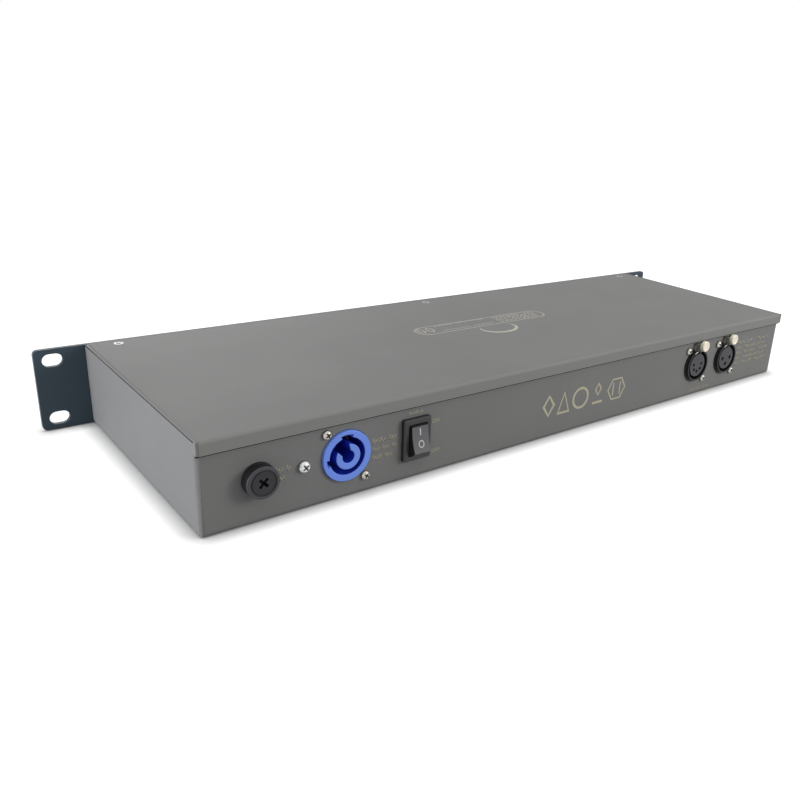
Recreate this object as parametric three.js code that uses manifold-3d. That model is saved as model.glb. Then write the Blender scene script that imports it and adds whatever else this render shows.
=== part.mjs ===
// A signal splitter for a 19-inch rack, one unit high: a folded steel tray with a cover, a front
// panel with ears, a mains side with fuse, earth screw, inlet and switch, and signal sockets.
// Millimetres, +Z up. The front panel faces -Y and the rear wall faces +Y. The origin is at the
// middle of the base, on the surface that the tray stands on.
import * as THREE from 'three';
import { mergeVertices } from 'three/addons/utils/BufferGeometryUtils.js';
import Module from 'manifold-3d';

const wasm = await Module();
wasm.setup();

// Driving dimensions
const seat = 0.3; // gap left between two pieces that touch
const overrun = 1; // how far a cutter runs past what it cuts
const sink = 0.4; // how far one form runs into the next where both are one piece

const panel = {
  width: 482.6,
  height: 44,
  thickness: 2.5,
  corner: 2.5,
  lift: 0.5, // its lower edge over the tray's underside
  slotSpacingX: 465.1,
  slotSpacingZ: 31.75,
  slotLength: 10,
  slotHeight: 7,
  screwInset: 10, // panel screw to the chassis side
  screwSpacingZ: 26,
};

const chassis = {
  width: 433,
  depth: 150, // panel's rear face to the cover lip's outer face
  height: 45,
  sheet: 1.2,
  bend: 2.5, // outer radius of the tray's folds
  frontCorner: 2.5, // side wall's upper front corner
  flangeDepth: 13, // front wall's top flange, under the cover screws
  windowMarginX: 21, // front wall left beside its window
  windowMarginBelow: 5,
  windowMarginAbove: 6,
};

const cover = {
  sheet: 1.2,
  bend: 1.5,
  lip: 6.5, // height of the rear lip
  screwInsetX: 15, // outer cover screws to the chassis side
  screwY: 6.7,
};

// Places along the walls, as shares of half the chassis width, and the row's height as a share
const fuseShare = 0.879;
const groundShare = 0.779;
const inletShare = 0.679;
const switchShare = 0.501;
const linkFiveShare = -0.5535;
const linkThreeShare = -0.7055;
const rowHeightShare = 0.484;

const pinHead = { radius: 2.3, height: 1.7, shank: 1.45 }; // pan head screws at the rear
const earthHead = { radius: 2.9, height: 2.2, shank: 1.6 };
const flatHead = { radius: 2.6, depth: 1, shank: 1.3 }; // countersunk screws
const recess = { width: 0.75, depth: 0.9 }; // cross recess in every screw head
const recessReachShare = 0.62; // of the head's radius
const crownShare = 0.55; // where a pan head's side turns into its crown

const flange = { width: 27, height: 32, thickness: 2, corner: 3 }; // mounting plate of a round socket

const inlet = {
  screwX: 10.1,
  screwZ: 12.6,
  radius: 12.6,
  proud: 1.4,
  bore: 9.3,
  cavity: 13, // depth of the hollow
  coreOuter: 6.3,
  coreInner: 3.15,
  coreRise: 0.8, // core's face over the ring's face
  notch: 1.5, // how far the keyways cut into the ring
  notchDepth: 3,
  length: 24, // wall's outer face to the housing's back
  tabWidth: 6.3,
  tabThickness: 0.8,
  tabLength: 7,
  tabSpread: 6,
};
const coreGap = { from: 98, to: 164 }; // opening of the core, degrees, seen from outside
const keyways = [{ from: 72, to: 108 }, { from: 180, to: 200 }];

const socket = {
  screwX: 9.7,
  screwZ: 10.8,
  baseRadius: 11.5,
  baseProud: 0.8,
  ringRadius: 10.7,
  ringProud: 2.3,
  bore: 9.5,
  insertRadius: 7.8,
  insertDrop: 0.5, // insert's face under the ring's face
  cavity: 12,
  groove: 5, // depth round the insert where shell and insert are one piece
  foot: 2, // wider base of a separate insert
  length: 21, // wall's outer face to the housing's back
  contact: 1.35, // radius of a contact hole where there are three
  smallContact: 1.1, // and where there are five
  contactCircle: 4.2,
  contactDepth: 4,
  humpWidth: 9.2,
  humpFrom: 8,
  humpAbove: 15.1, // top of the latch housing over the socket's centre
  humpProud: 1,
};
const threeContacts = [180, 0, 270]; // degrees round the contact circle, seen from outside
const fiveContacts = [170, 220, 270, 320, 10];

const latch = {
  rise: 14.1, // button's centre over the socket's centre
  radius: 3.5,
  proud: 6.6,
  thickness: 2.6,
  travel: 1.6,
  stemWidth: 4,
  stemFrom: 10,
  stemTo: 14.6,
  stemDepth: 3.2,
};

const plugPins = { radius: 1.2, discThickness: 3, tipDrop: 3.2, tipRound: 0.5 }; // input's insert
const inputCavity = 15;
const inputKey = { width: 2.2, depth: 1.4 }; // groove along the input's bore, at its foot

const fuse = {
  flangeRadius: 7.7,
  flangeProud: 1.1,
  capRadius: 7.6,
  capProud: 6,
  barrel: 6.1,
  bore: 5.2,
  boreDepth: 20.3,
  length: 27,
  nutAcross: 15, // across the nut's flats
  nutThickness: 3.5,
  sleeveOuter: 4.8,
  sleeveInner: 3.1,
  sleeveLength: 8,
  linkRadius: 2.6,
  linkLength: 20,
  linkCap: 5.2,
  linkCapStep: 0.25,
  grooveRadius: 5.6,
  grooveWidth: 0.6,
  grooveDepth: 0.45,
  slotWidth: 1.4,
  slotLength: 5.4,
  slotDepth: 1.6,
  edge: 0.7,
  tabWidth: 3,
  tabThickness: 0.8,
  tabLength: 5,
  tabSpread: 3,
};

const rockerSwitch = {
  bezelWidth: 16,
  bezelHeight: 22,
  bezelProud: 3,
  bezelCorner: 0.3,
  bezelBevel: 1,
  bodyWidth: 13.8,
  bodyHeight: 19.6,
  depth: 15,
  openingWidth: 11,
  openingHeight: 16.8,
  openingDepth: 9,
  pivotRise: 1.2, // over the wall
  pivotRadius: 1,
  pivotLength: 0.8,
  tilt: 13.5, // degrees each way
  skirt: 20, // degrees that each end's curve runs on behind the pivot
  faceMiddle: 5.3, // the level rocker's face over the wall, at its middle and its ends
  faceEnd: 5.9,
  draftFrom: 2.4, // over the wall, where the level rocker's sides start to lean inwards
  draftShare: 0.16, // how far each side leans in, as a share of the height over that
  rootWidth: 5,
  rootDepth: 5.2,
  tabWidth: 4.8,
  tabThickness: 0.8,
  tabLength: 6,
  tabSpread: 4.2,
};

const earthNut = { radius: 3.4, thickness: 2.4 };
const screwLength = { cover: 5, panel: 7, rear: 7, earth: 9 };

const indicator = { radius: 1.5, proud: 0.9, barHeight: 3.2, barThickness: 3, barEnd: 3 };
const indicatorRiseShare = 0.315; // over the row's centre, of the chassis height
const outputCount = 8;

const board = { thickness: 1.6, height: 33, marginX: 6 }; // upright board behind the front sockets
const powerBoard = { width: 112, depth: 52, standoff: 6, standoffRadius: 3, inset: 5, peg: 1.3, pegTip: 1 };
const powerBoardXShare = 0.6;
const powerBoardYShare = 0.5;
const transformer = { width: 46, depth: 26, height: 34, coilWidth: 28, coilHeight: 24, coilReach: 8 };
const transformerXShare = 0.1;
const transformerYShare = 0.62;
const capacitor = { radius: 8, height: 25, edge: 1 };
const capacitorXShare = 0.46;
const heatsink = { width: 44, thickness: 2, height: 24, finDepth: 9, fins: 6 };
const heatsinkXShare = 0.7;

const lead = { radius: 1.1, sides: 8, steps: 12 };
const receptacle = { wall: 0.8, length: 6, insert: 4.5 }; // push-on end of a lead, and its grip
const leadReach = { live: 16, switched: 24, neutral: 10, earth: 12, drop: 8 }; // slack of each lead
const ribbon = { width: 14, thickness: 1.2, sag: 6, steps: 10, headerHeight: 8, headerDepth: 4 };
const ribbonHeaderWidth = 50; // across both link sockets
const ringTerminal = { radius: 3.6, thickness: 0.8, barrel: 1.6, barrelLength: 5 };

// Worked out from the sizes above
const half = chassis.width / 2;
const panelFront = -panel.thickness;
const trayFront = seat;
const rearFace = chassis.depth - cover.sheet - seat;
const rowZ = chassis.height * rowHeightShare;
const underCover = chassis.height - cover.sheet - seat;
const lipBottom = chassis.height - cover.lip;
const windowHalf = half - chassis.windowMarginX;
const pitch = (windowHalf * 2) / (outputCount + 1);
const rockerReach = rockerSwitch.openingHeight / 2 - seat;
const rockerTop = Math.asin((rockerSwitch.faceEnd - rockerSwitch.pivotRise) / rockerReach);
const rockerTilt = THREE.MathUtils.degToRad(rockerSwitch.tilt);
const rockerProud = rockerSwitch.pivotRise + rockerReach * Math.sin(rockerTop + rockerTilt);
const rearReach = Math.max(latch.proud, fuse.capProud, rockerProud);
const originY = (panelFront - latch.proud + rearFace + rearReach) / 2;

// How finely round shapes are cut
const ringSides = 24;
const screwSides = 12;
const holeSides = 8;
const nutSides = 6;
const bendSides = 3;
const slotSides = 6;

// Materials
function finish(color, roughness, metalness) {
  return new THREE.MeshStandardMaterial({ color, roughness, metalness });
}
const greyPaint = finish(0x7d7d80, 0.6, 0.2);
const slatePaint = finish(0x33424a, 0.5, 0.2);
const blackPlastic = finish(0x1c1c1e, 0.5, 0);
const greyPlastic = finish(0x4e4e52, 0.6, 0);
const bluePlastic = finish(0x4a68e8, 0.4, 0);
const nickel = finish(0xc9c3b2, 0.3, 0.9);
const brass = finish(0xb8964a, 0.4, 0.9);
const clear = finish(0xd8e0e0, 0.2, 0);
const greenBoard = finish(0x1e5a38, 0.6, 0);
const steelCore = finish(0x6b6560, 0.5, 0.6);
const aluminium = finish(0xa8aab0, 0.4, 0.8);
const brownLead = finish(0x6a3b22, 0.6, 0);
const blueLead = finish(0x2c4fa8, 0.6, 0);
const earthGreen = finish(0x7a9a2a, 0.6, 0);

// Geometry helpers. A cut or joined piece is a manifold, and everything else is a geometry.
function solid(geometry) {
  const bare = geometry.index ? geometry.toNonIndexed() : geometry.clone();
  bare.deleteAttribute('normal');
  bare.deleteAttribute('uv');
  const merged = mergeVertices(bare);
  const corners = merged.index.array;
  const kept = [];
  for (let i = 0; i < corners.length; i += 3) {
    const [a, b, c] = [corners[i], corners[i + 1], corners[i + 2]];
    if (a !== b && b !== c && c !== a) kept.push(a, b, c);
  }
  const vertProperties = merged.attributes.position.array;
  const triVerts = new Uint32Array(kept);
  return new wasm.Manifold(new wasm.Mesh({ numProp: 3, vertProperties, triVerts }));
}

function joined(geometries) {
  return geometries.map(solid).reduce((whole, piece) => whole.add(piece));
}

function geometryOf(manifold) {
  const mesh = manifold.getMesh();
  const geometry = new THREE.BufferGeometry();
  geometry.setAttribute('position', new THREE.BufferAttribute(new Float32Array(mesh.vertProperties), 3));
  geometry.setIndex(new THREE.BufferAttribute(new Uint32Array(mesh.triVerts), 1));
  geometry.computeVertexNormals();
  return geometry;
}

function block([x0, x1], [y0, y1], [z0, z1]) {
  const box = new THREE.BoxGeometry(x1 - x0, y1 - y0, z1 - z0);
  return box.translate((x0 + x1) / 2, (y0 + y1) / 2, (z0 + z1) / 2);
}

// A turned shape round local Z, from a profile of [radius, height] points
function turned(profile, sides = ringSides) {
  const points = profile.map(([radius, height]) => new THREE.Vector2(radius, height));
  return new THREE.LatheGeometry(points, sides).rotateX(Math.PI / 2);
}

function cylinder(radius, from, to, sides = holeSides) {
  return turned([[0, from], [radius, from], [radius, to], [0, to]], sides);
}

function plate(shape, from, to, curveSegments = bendSides) {
  const options = { depth: to - from, bevelEnabled: false, curveSegments };
  return new THREE.ExtrudeGeometry(shape, options).translate(0, 0, from);
}

// A rectangle whose four corners each have their own radius, clockwise from the upper left
function outline([x0, x1], [y0, y1], [upperLeft, upperRight, lowerRight, lowerLeft]) {
  const shape = new THREE.Shape();
  const quarter = Math.PI / 2;
  shape.moveTo(x0, y0 + lowerLeft);
  shape.lineTo(x0, y1 - upperLeft);
  if (upperLeft > 0) shape.absarc(x0 + upperLeft, y1 - upperLeft, upperLeft, 2 * quarter, quarter, true);
  shape.lineTo(x1 - upperRight, y1);
  if (upperRight > 0) shape.absarc(x1 - upperRight, y1 - upperRight, upperRight, quarter, 0, true);
  shape.lineTo(x1, y0 + lowerRight);
  if (lowerRight > 0) shape.absarc(x1 - lowerRight, y0 + lowerRight, lowerRight, 0, -quarter, true);
  shape.lineTo(x0 + lowerLeft, y0);
  if (lowerLeft > 0) shape.absarc(x0 + lowerLeft, y0 + lowerLeft, lowerLeft, -quarter, -2 * quarter, true);
  return shape;
}

function roundedBox(width, height, corner) {
  return outline([-width / 2, width / 2], [-height / 2, height / 2], [corner, corner, corner, corner]);
}

function polar(radius, degrees) {
  const angle = THREE.MathUtils.degToRad(degrees);
  return new THREE.Vector2(radius * Math.cos(angle), radius * Math.sin(angle));
}

// A sector of a ring, between two angles in degrees
function sector(inner, outer, from, to, steps = bendSides) {
  const points = [];
  for (let i = 0; i <= steps; i += 1) points.push(polar(outer, from + ((to - from) * i) / steps));
  for (let i = steps; i >= 0; i -= 1) points.push(polar(inner, from + ((to - from) * i) / steps));
  return new THREE.Shape(points);
}

// Frames. On a wall, local x points right and local y up as seen from outside, and local z out.
function wallGroup(right, out, x, y, z) {
  const group = new THREE.Group();
  const up = new THREE.Vector3(0, 0, 1);
  group.quaternion.setFromRotationMatrix(new THREE.Matrix4().makeBasis(right, up, out));
  group.position.set(x, y, z);
  group.updateMatrix();
  return group;
}

const frontRight = new THREE.Vector3(1, 0, 0);
const frontOut = new THREE.Vector3(0, -1, 0);
const rearRight = new THREE.Vector3(-1, 0, 0);
const rearOut = new THREE.Vector3(0, 1, 0);

function onRear(x) {
  return wallGroup(rearRight, rearOut, x, rearFace, rowZ);
}

function onFront(x) {
  return wallGroup(frontRight, frontOut, x, panelFront, rowZ);
}

function placed(geometry, group) {
  return geometry.clone().applyMatrix4(group.matrix);
}

const unit = new THREE.Group();
unit.position.set(0, -originY, 0);

function add(name, shape, material, parent = unit) {
  const geometry = shape.isBufferGeometry ? shape : geometryOf(shape);
  const mesh = new THREE.Mesh(geometry, material);
  mesh.name = name;
  parent.add(mesh);
  return mesh;
}

// Screws, with their heads' undersides at local z = 0
function crossRecess(headRadius, top) {
  const reach = headRadius * recessReachShare;
  const along = [-reach, reach];
  const across = [-recess.width / 2, recess.width / 2];
  const deep = [top - recess.depth, top + overrun];
  return joined([block(along, across, deep), block(across, along, deep)]);
}

function panScrew(head, length) {
  const edge = head.height * crownShare;
  const profile = [
    [0, -length],
    [head.shank, -length],
    [head.shank, 0],
    [head.radius, 0],
    [head.radius, edge],
    [(head.radius + head.shank) / 2, (head.height + edge) / 2 + (head.height - edge) / 4],
    [0, head.height],
  ];
  return solid(turned(profile, screwSides)).subtract(crossRecess(head.radius, head.height));
}

function flatScrew(length) {
  const profile = [
    [0, -length],
    [flatHead.shank, -length],
    [flatHead.shank, -flatHead.depth],
    [flatHead.radius, 0],
    [0, 0],
  ];
  return solid(turned(profile, screwSides)).subtract(crossRecess(flatHead.radius, 0));
}

// The hole that a countersunk screw needs, cone upwards along local z
function flatScrewHole(length) {
  const grown = flatHead.shank + seat;
  const slope = (flatHead.radius - flatHead.shank) / flatHead.depth;
  const mouth = flatHead.radius + seat + slope * overrun;
  const profile = [
    [0, -length],
    [grown, -length],
    [grown, -flatHead.depth],
    [mouth, overrun],
    [0, overrun],
  ];
  return turned(profile, screwSides);
}

// Chassis tray
const sideways = new THREE.Matrix4().makeBasis(
  new THREE.Vector3(0, 1, 0),
  new THREE.Vector3(0, 0, 1),
  new THREE.Vector3(1, 0, 0),
);

function trayForm(inset, top) {
  const across = [-half + inset, half - inset];
  const along = [trayFront + inset, rearFace - inset];
  const up = [inset, top];
  const bend = chassis.bend - inset;
  const nose = inset > 0 ? 0 : chassis.frontCorner;
  const plan = plate(outline(across, along, [bend, bend, 0, 0]), ...up);
  const face = plate(outline(across, up, [0, 0, bend, bend]), -along[1], -along[0]).rotateX(Math.PI / 2);
  const side = plate(outline(along, up, [nose, 0, bend, 0]), ...across).applyMatrix4(sideways);
  return solid(plan).intersect(solid(face)).intersect(solid(side));
}

const powerBoardX = half * powerBoardXShare;
const powerBoardY = chassis.depth * powerBoardYShare;
const powerBoardZ = chassis.sheet + powerBoard.standoff;
const boardTop = powerBoardZ + seat + board.thickness;

function boardCorners() {
  const dx = powerBoard.width / 2 - powerBoard.inset;
  const dy = powerBoard.depth / 2 - powerBoard.inset;
  return [[-dx, -dy], [dx, -dy], [-dx, dy], [dx, dy]].map(([x, y]) => [powerBoardX + x, powerBoardY + y]);
}

const coverScrewXs = [half - cover.screwInsetX, 0, cover.screwInsetX - half];
const panelScrewX = half - panel.screwInset;
const panelMiddle = panel.lift + panel.height / 2;
const linkFive = onRear(half * linkFiveShare);
const linkThree = onRear(half * linkThreeShare);
const inletPlace = onRear(half * inletShare);
const fusePlace = onRear(half * fuseShare);
const groundPlace = onRear(half * groundShare);
const switchPlace = onRear(half * switchShare);
const inputPlace = onFront(-windowHalf + pitch / 2);
const outputPlaces = Array.from({ length: outputCount }, (unused, i) => (
  onFront(inputPlace.position.x + pitch * (i + 1))));
const panelScrews = [[-1, 1], [1, 1], [-1, -1], [1, -1]].map(([across, up]) => {
  const z = panelMiddle + (up * panel.screwSpacingZ) / 2;
  return wallGroup(frontRight, frontOut, across * panelScrewX, panelFront, z);
});
const throughWall = [-chassis.sheet - overrun, overrun];
const throughPanel = [-panel.thickness - overrun, overrun];

// What a socket needs cut in its wall: its round nose and its latch housing
function socketHole(depths, hasLatch) {
  const nose = cylinder(socket.baseRadius + seat, ...depths, ringSides);
  if (!hasLatch) return solid(nose);
  const wide = socket.humpWidth / 2 + seat;
  return solid(nose).add(solid(block([-wide, wide], [0, socket.humpAbove + seat], depths)));
}

function screwHoles({ screwX, screwZ }, radius, depths) {
  const hole = cylinder(radius, ...depths);
  return [hole.clone().translate(-screwX, screwZ, 0), hole.clone().translate(screwX, -screwZ, 0)];
}

function makeTray() {
  let tray = trayForm(0, chassis.height).subtract(trayForm(chassis.sheet, chassis.height + overrun));
  const inside = half - chassis.sheet;
  const between = [-inside, inside];
  const shoulder = [rearFace - chassis.bend, chassis.depth];
  for (const side of [-1, 1]) {
    const wall = [side * inside, side * half].sort((a, b) => a - b);
    tray = tray.add(solid(block(wall, shoulder, [lipBottom + seat, chassis.height])));
  }
  const aboveRear = [lipBottom + seat, chassis.height + overrun];
  const behind = [rearFace, chassis.depth + overrun];
  tray = tray.subtract(solid(block(between, behind, aboveRear)));
  const wholeDepth = [trayFront - overrun, chassis.depth + overrun];
  tray = tray.subtract(solid(block(between, wholeDepth, [underCover, chassis.height + overrun])));
  const ledge = [trayFront, trayFront + chassis.flangeDepth];
  tray = tray.add(solid(block(between, ledge, [underCover - chassis.sheet, underCover])));
  const frontWall = [trayFront - overrun, trayFront + chassis.sheet + overrun];
  const windowZ = [chassis.windowMarginBelow, chassis.height - chassis.windowMarginAbove];
  tray = tray.subtract(solid(block([-windowHalf, windowHalf], frontWall, windowZ)));
  for (const [x, y] of boardCorners()) {
    const post = cylinder(powerBoard.standoffRadius, chassis.sheet / 2, powerBoardZ);
    const peg = cylinder(powerBoard.peg, chassis.sheet, boardTop + powerBoard.pegTip);
    tray = tray.add(joined([post, peg]).translate([x, y, 0]));
  }
  const cutters = [
    ...coverScrewXs.map((x) => cylinder(flatHead.shank + seat, underCover - chassis.sheet - overrun,
      underCover + overrun).translate(x, cover.screwY, 0)),
    placed(cylinder(fuse.barrel + seat, ...throughWall, ringSides), fusePlace),
    placed(cylinder(earthHead.shank + seat, ...throughWall), groundPlace),
    placed(cylinder(inlet.radius + seat, ...throughWall, ringSides), inletPlace),
    ...screwHoles(inlet, pinHead.shank + seat, throughWall).map((hole) => placed(hole, inletPlace)),
    placed(switchHole(), switchPlace),
    ...[linkFive, linkThree].flatMap((place) =>
      screwHoles(socket, pinHead.shank + seat, throughWall).map((hole) => placed(hole, place))),
    ...[linkFive, linkThree].map((place) => placed(geometryOf(socketHole(throughWall, true)), place)),
    ...panelScrews.map((place) => placed(cylinder(flatHead.shank + seat, -screwLength.panel, sink), place)),
  ];
  for (const cutter of cutters) tray = tray.subtract(solid(cutter));
  return tray;
}

function switchHole() {
  const wide = rockerSwitch.bodyWidth / 2 + seat;
  const high = rockerSwitch.bodyHeight / 2 + seat;
  return block([-wide, wide], [-high, high], throughWall);
}

add('chassis_tray', makeTray(), greyPaint);

// Cover and its screws
function makeCover() {
  const wide = half - chassis.sheet - seat;
  const inner = cover.bend - cover.sheet;
  const rear = chassis.depth;
  const profile = outline([trayFront, rear], [lipBottom, chassis.height], [0, cover.bend, 0, 0]);
  const inside = outline(
    [trayFront - overrun, rear - cover.sheet],
    [lipBottom - overrun, chassis.height - cover.sheet],
    [0, inner, 0, 0],
  );
  const outer = plate(profile, -wide, wide).applyMatrix4(sideways);
  const hollow = plate(inside, -wide - overrun, wide + overrun).applyMatrix4(sideways);
  let lid = solid(outer).subtract(solid(hollow));
  for (const x of coverScrewXs) {
    const hole = flatScrewHole(screwLength.cover).translate(x, cover.screwY, chassis.height);
    lid = lid.subtract(solid(hole));
  }
  return lid;
}

add('top_cover', makeCover(), greyPaint);
const coverScrewNames = ['left', 'middle', 'right'];
coverScrewXs.forEach((x, i) => {
  const screw = flatScrew(screwLength.cover).translate([x, cover.screwY, chassis.height]);
  add(`cover_screw_${coverScrewNames[i]}`, screw, nickel);
});

// Front panel and its screws
const indicatorRise = chassis.height * indicatorRiseShare;
const indicatorXs = outputPlaces.map((place) => place.position.x - pitch / 2);

function makePanel() {
  const middle = onFront(0);
  middle.position.z = panelMiddle;
  middle.updateMatrix();
  const blank = plate(roundedBox(panel.width, panel.height, panel.corner), -panel.thickness, 0);
  let face = solid(placed(blank, middle));
  const slotShape = roundedBox(panel.slotLength, panel.slotHeight, panel.slotHeight / 2);
  const slot = plate(slotShape, ...throughPanel, slotSides);
  for (const across of [-1, 1]) {
    for (const up of [-1, 1]) {
      const x = (across * panel.slotSpacingX) / 2;
      const y = (up * panel.slotSpacingZ) / 2;
      face = face.subtract(solid(placed(slot.clone().translate(x, y, 0), middle)));
    }
  }
  for (const screw of panelScrews) {
    face = face.subtract(solid(placed(flatScrewHole(screwLength.panel), screw)));
  }
  for (const x of indicatorXs) {
    const hole = cylinder(indicator.radius + seat, ...throughPanel).translate(0, indicatorRise, 0);
    face = face.subtract(solid(placed(hole, onFront(x))));
  }
  face = face.subtract(solid(placed(geometryOf(socketHole(throughPanel, false)), inputPlace)));
  for (const place of outputPlaces) {
    face = face.subtract(solid(placed(geometryOf(socketHole(throughPanel, true)), place)));
  }
  return face;
}

add('front_panel', makePanel(), slatePaint);
panelScrews.forEach((place, i) => {
  add(`panel_screw_${i + 1}`, placed(geometryOf(flatScrew(screwLength.panel)), place), nickel);
});

// A square-ended blade that runs inwards from a housing's back
function blade(width, thickness, length, back, x, y) {
  const across = [x - width / 2, x + width / 2];
  const up = [y - thickness / 2, y + thickness / 2];
  return block(across, up, [-back - length, -back + sink]);
}

// Fuse holder
const fuseTop = seat + fuse.flangeProud;
const fuseTabs = [{ x: 0, y: fuse.tabSpread }, { x: 0, y: -fuse.tabSpread }];

function makeFuseHolder() {
  const profile = [
    [0, -fuse.length],
    [fuse.barrel, -fuse.length],
    [fuse.barrel, seat],
    [fuse.flangeRadius, seat],
    [fuse.flangeRadius, fuseTop],
    [fuse.bore, fuseTop],
    [fuse.bore, -fuse.boreDepth],
    [0, -fuse.boreDepth],
  ];
  const tabs = fuseTabs.map(({ x, y }) =>
    blade(fuse.tabWidth, fuse.tabThickness, fuse.tabLength, fuse.length, x, y));
  return joined([turned(profile), ...tabs]);
}

function makeFuseNut() {
  const front = -chassis.sheet - seat;
  const radius = fuse.nutAcross / 2 / Math.cos(Math.PI / nutSides);
  const body = cylinder(radius, front - fuse.nutThickness, front, nutSides);
  const depths = [front - fuse.nutThickness - overrun, front + overrun];
  return solid(body).subtract(solid(cylinder(fuse.barrel + seat, ...depths, ringSides)));
}

function makeFuseCap() {
  const back = fuseTop + seat;
  const profile = [
    [0, seat + sink],
    [fuse.sleeveInner, seat + sink],
    [fuse.sleeveInner, -fuse.sleeveLength],
    [fuse.sleeveOuter, -fuse.sleeveLength],
    [fuse.sleeveOuter, back],
    [fuse.capRadius, back],
    [fuse.capRadius, fuse.capProud - fuse.edge],
    [fuse.capRadius - fuse.edge, fuse.capProud],
    [0, fuse.capProud],
  ];
  const grooveFrom = fuse.grooveRadius - fuse.grooveWidth / 2;
  const grooveTo = fuse.grooveRadius + fuse.grooveWidth / 2;
  const groove = [
    [grooveFrom, fuse.capProud - fuse.grooveDepth],
    [grooveTo, fuse.capProud - fuse.grooveDepth],
    [grooveTo, fuse.capProud + overrun],
    [grooveFrom, fuse.capProud + overrun],
    [grooveFrom, fuse.capProud - fuse.grooveDepth],
  ];
  const along = [-fuse.slotLength / 2, fuse.slotLength / 2];
  const across = [-fuse.slotWidth / 2, fuse.slotWidth / 2];
  const deep = [fuse.capProud - fuse.slotDepth, fuse.capProud + overrun];
  const cross = joined([block(along, across, deep), block(across, along, deep)]);
  const turnedCross = geometryOf(cross).rotateZ(Math.PI / 4);
  return solid(turned(profile)).subtract(solid(turned(groove))).subtract(solid(turnedCross));
}

function makeFuseLink() {
  const glass = fuse.linkRadius - fuse.linkCapStep;
  const profile = [
    [0, -fuse.linkLength],
    [fuse.linkRadius, -fuse.linkLength],
    [fuse.linkRadius, fuse.linkCap - fuse.linkLength],
    [glass, fuse.linkCap - fuse.linkLength],
    [glass, -fuse.linkCap],
    [fuse.linkRadius, -fuse.linkCap],
    [fuse.linkRadius, 0],
    [0, 0],
  ];
  return turned(profile, screwSides);
}

add('fuse_holder', placed(geometryOf(makeFuseHolder()), fusePlace), blackPlastic);
add('fuse_holder_nut', placed(geometryOf(makeFuseNut()), fusePlace), blackPlastic);
add('fuse_cap', placed(geometryOf(makeFuseCap()), fusePlace), greyPlastic);
add('fuse_link', placed(makeFuseLink(), fusePlace), nickel);

// Earth screw
function makeEarthNut() {
  const front = -chassis.sheet - seat;
  const body = cylinder(earthNut.radius, front - earthNut.thickness, front, nutSides);
  const depths = [front - earthNut.thickness - overrun, front + overrun];
  return solid(body).subtract(solid(cylinder(earthHead.shank + seat, ...depths)));
}

const earthScrew = geometryOf(panScrew(earthHead, screwLength.earth)).translate(0, 0, seat);
add('ground_screw', placed(earthScrew, groundPlace), nickel);
add('ground_nut', placed(geometryOf(makeEarthNut()), groundPlace), brass);

// Mounting plate round a barrel, behind a wall, with its two screw holes where screws are given
function mountingPlate(wall, bore, screws) {
  const front = -wall - seat;
  const back = front - flange.thickness;
  const depths = [back - overrun, front + overrun];
  const blank = plate(roundedBox(flange.width, flange.height, flange.corner), back, front);
  let base = solid(blank).subtract(solid(cylinder(bore + sink, ...depths, ringSides)));
  if (!screws) return base;
  for (const hole of screwHoles(screws, pinHead.shank + seat, depths)) base = base.subtract(solid(hole));
  return base;
}

function addRearScrews(names, screws, place) {
  const sides = [-1, 1];
  names.forEach((name, i) => {
    const screw = geometryOf(panScrew(pinHead, screwLength.rear));
    screw.translate(sides[i] * screws.screwX, -sides[i] * screws.screwZ, seat);
    add(name, placed(screw, place), nickel);
  });
}

// Mains inlet
const inletTabs = {
  live: { x: -inlet.tabSpread, y: inlet.tabSpread / 2 },
  neutral: { x: inlet.tabSpread, y: inlet.tabSpread / 2 },
  earth: { x: 0, y: -inlet.tabSpread },
};

function makeInlet() {
  const profile = [
    [0, -inlet.length],
    [inlet.radius, -inlet.length],
    [inlet.radius, inlet.proud],
    [inlet.bore, inlet.proud],
    [inlet.bore, -inlet.cavity],
    [0, -inlet.cavity],
  ];
  const coreShape = sector(inlet.coreInner, inlet.coreOuter, coreGap.to, coreGap.from + 360, ringSides / 2);
  const core = plate(coreShape, -inlet.cavity - sink, inlet.proud + inlet.coreRise);
  let body = solid(turned(profile)).add(mountingPlate(chassis.sheet, inlet.bore, inlet)).add(solid(core));
  for (const { from, to } of keyways) {
    const shape = sector(inlet.bore - sink, inlet.bore + inlet.notch, from, to);
    body = body.subtract(solid(plate(shape, inlet.proud - inlet.notchDepth, inlet.proud + overrun)));
  }
  for (const { x, y } of Object.values(inletTabs)) {
    const tab = blade(inlet.tabWidth, inlet.tabThickness, inlet.tabLength, inlet.length, x, y);
    body = body.add(solid(tab));
  }
  return body;
}

add('power_inlet', placed(geometryOf(makeInlet()), inletPlace), bluePlastic);
addRearScrews(['inlet_screw_upper', 'inlet_screw_lower'], inlet, inletPlace);

// Rocker switch
const switchTabs = [-1, 1].flatMap((across) => [-1, 1].map((up) => (
  { x: across * rockerSwitch.tabSpread, y: up * rockerSwitch.tabSpread })));

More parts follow.
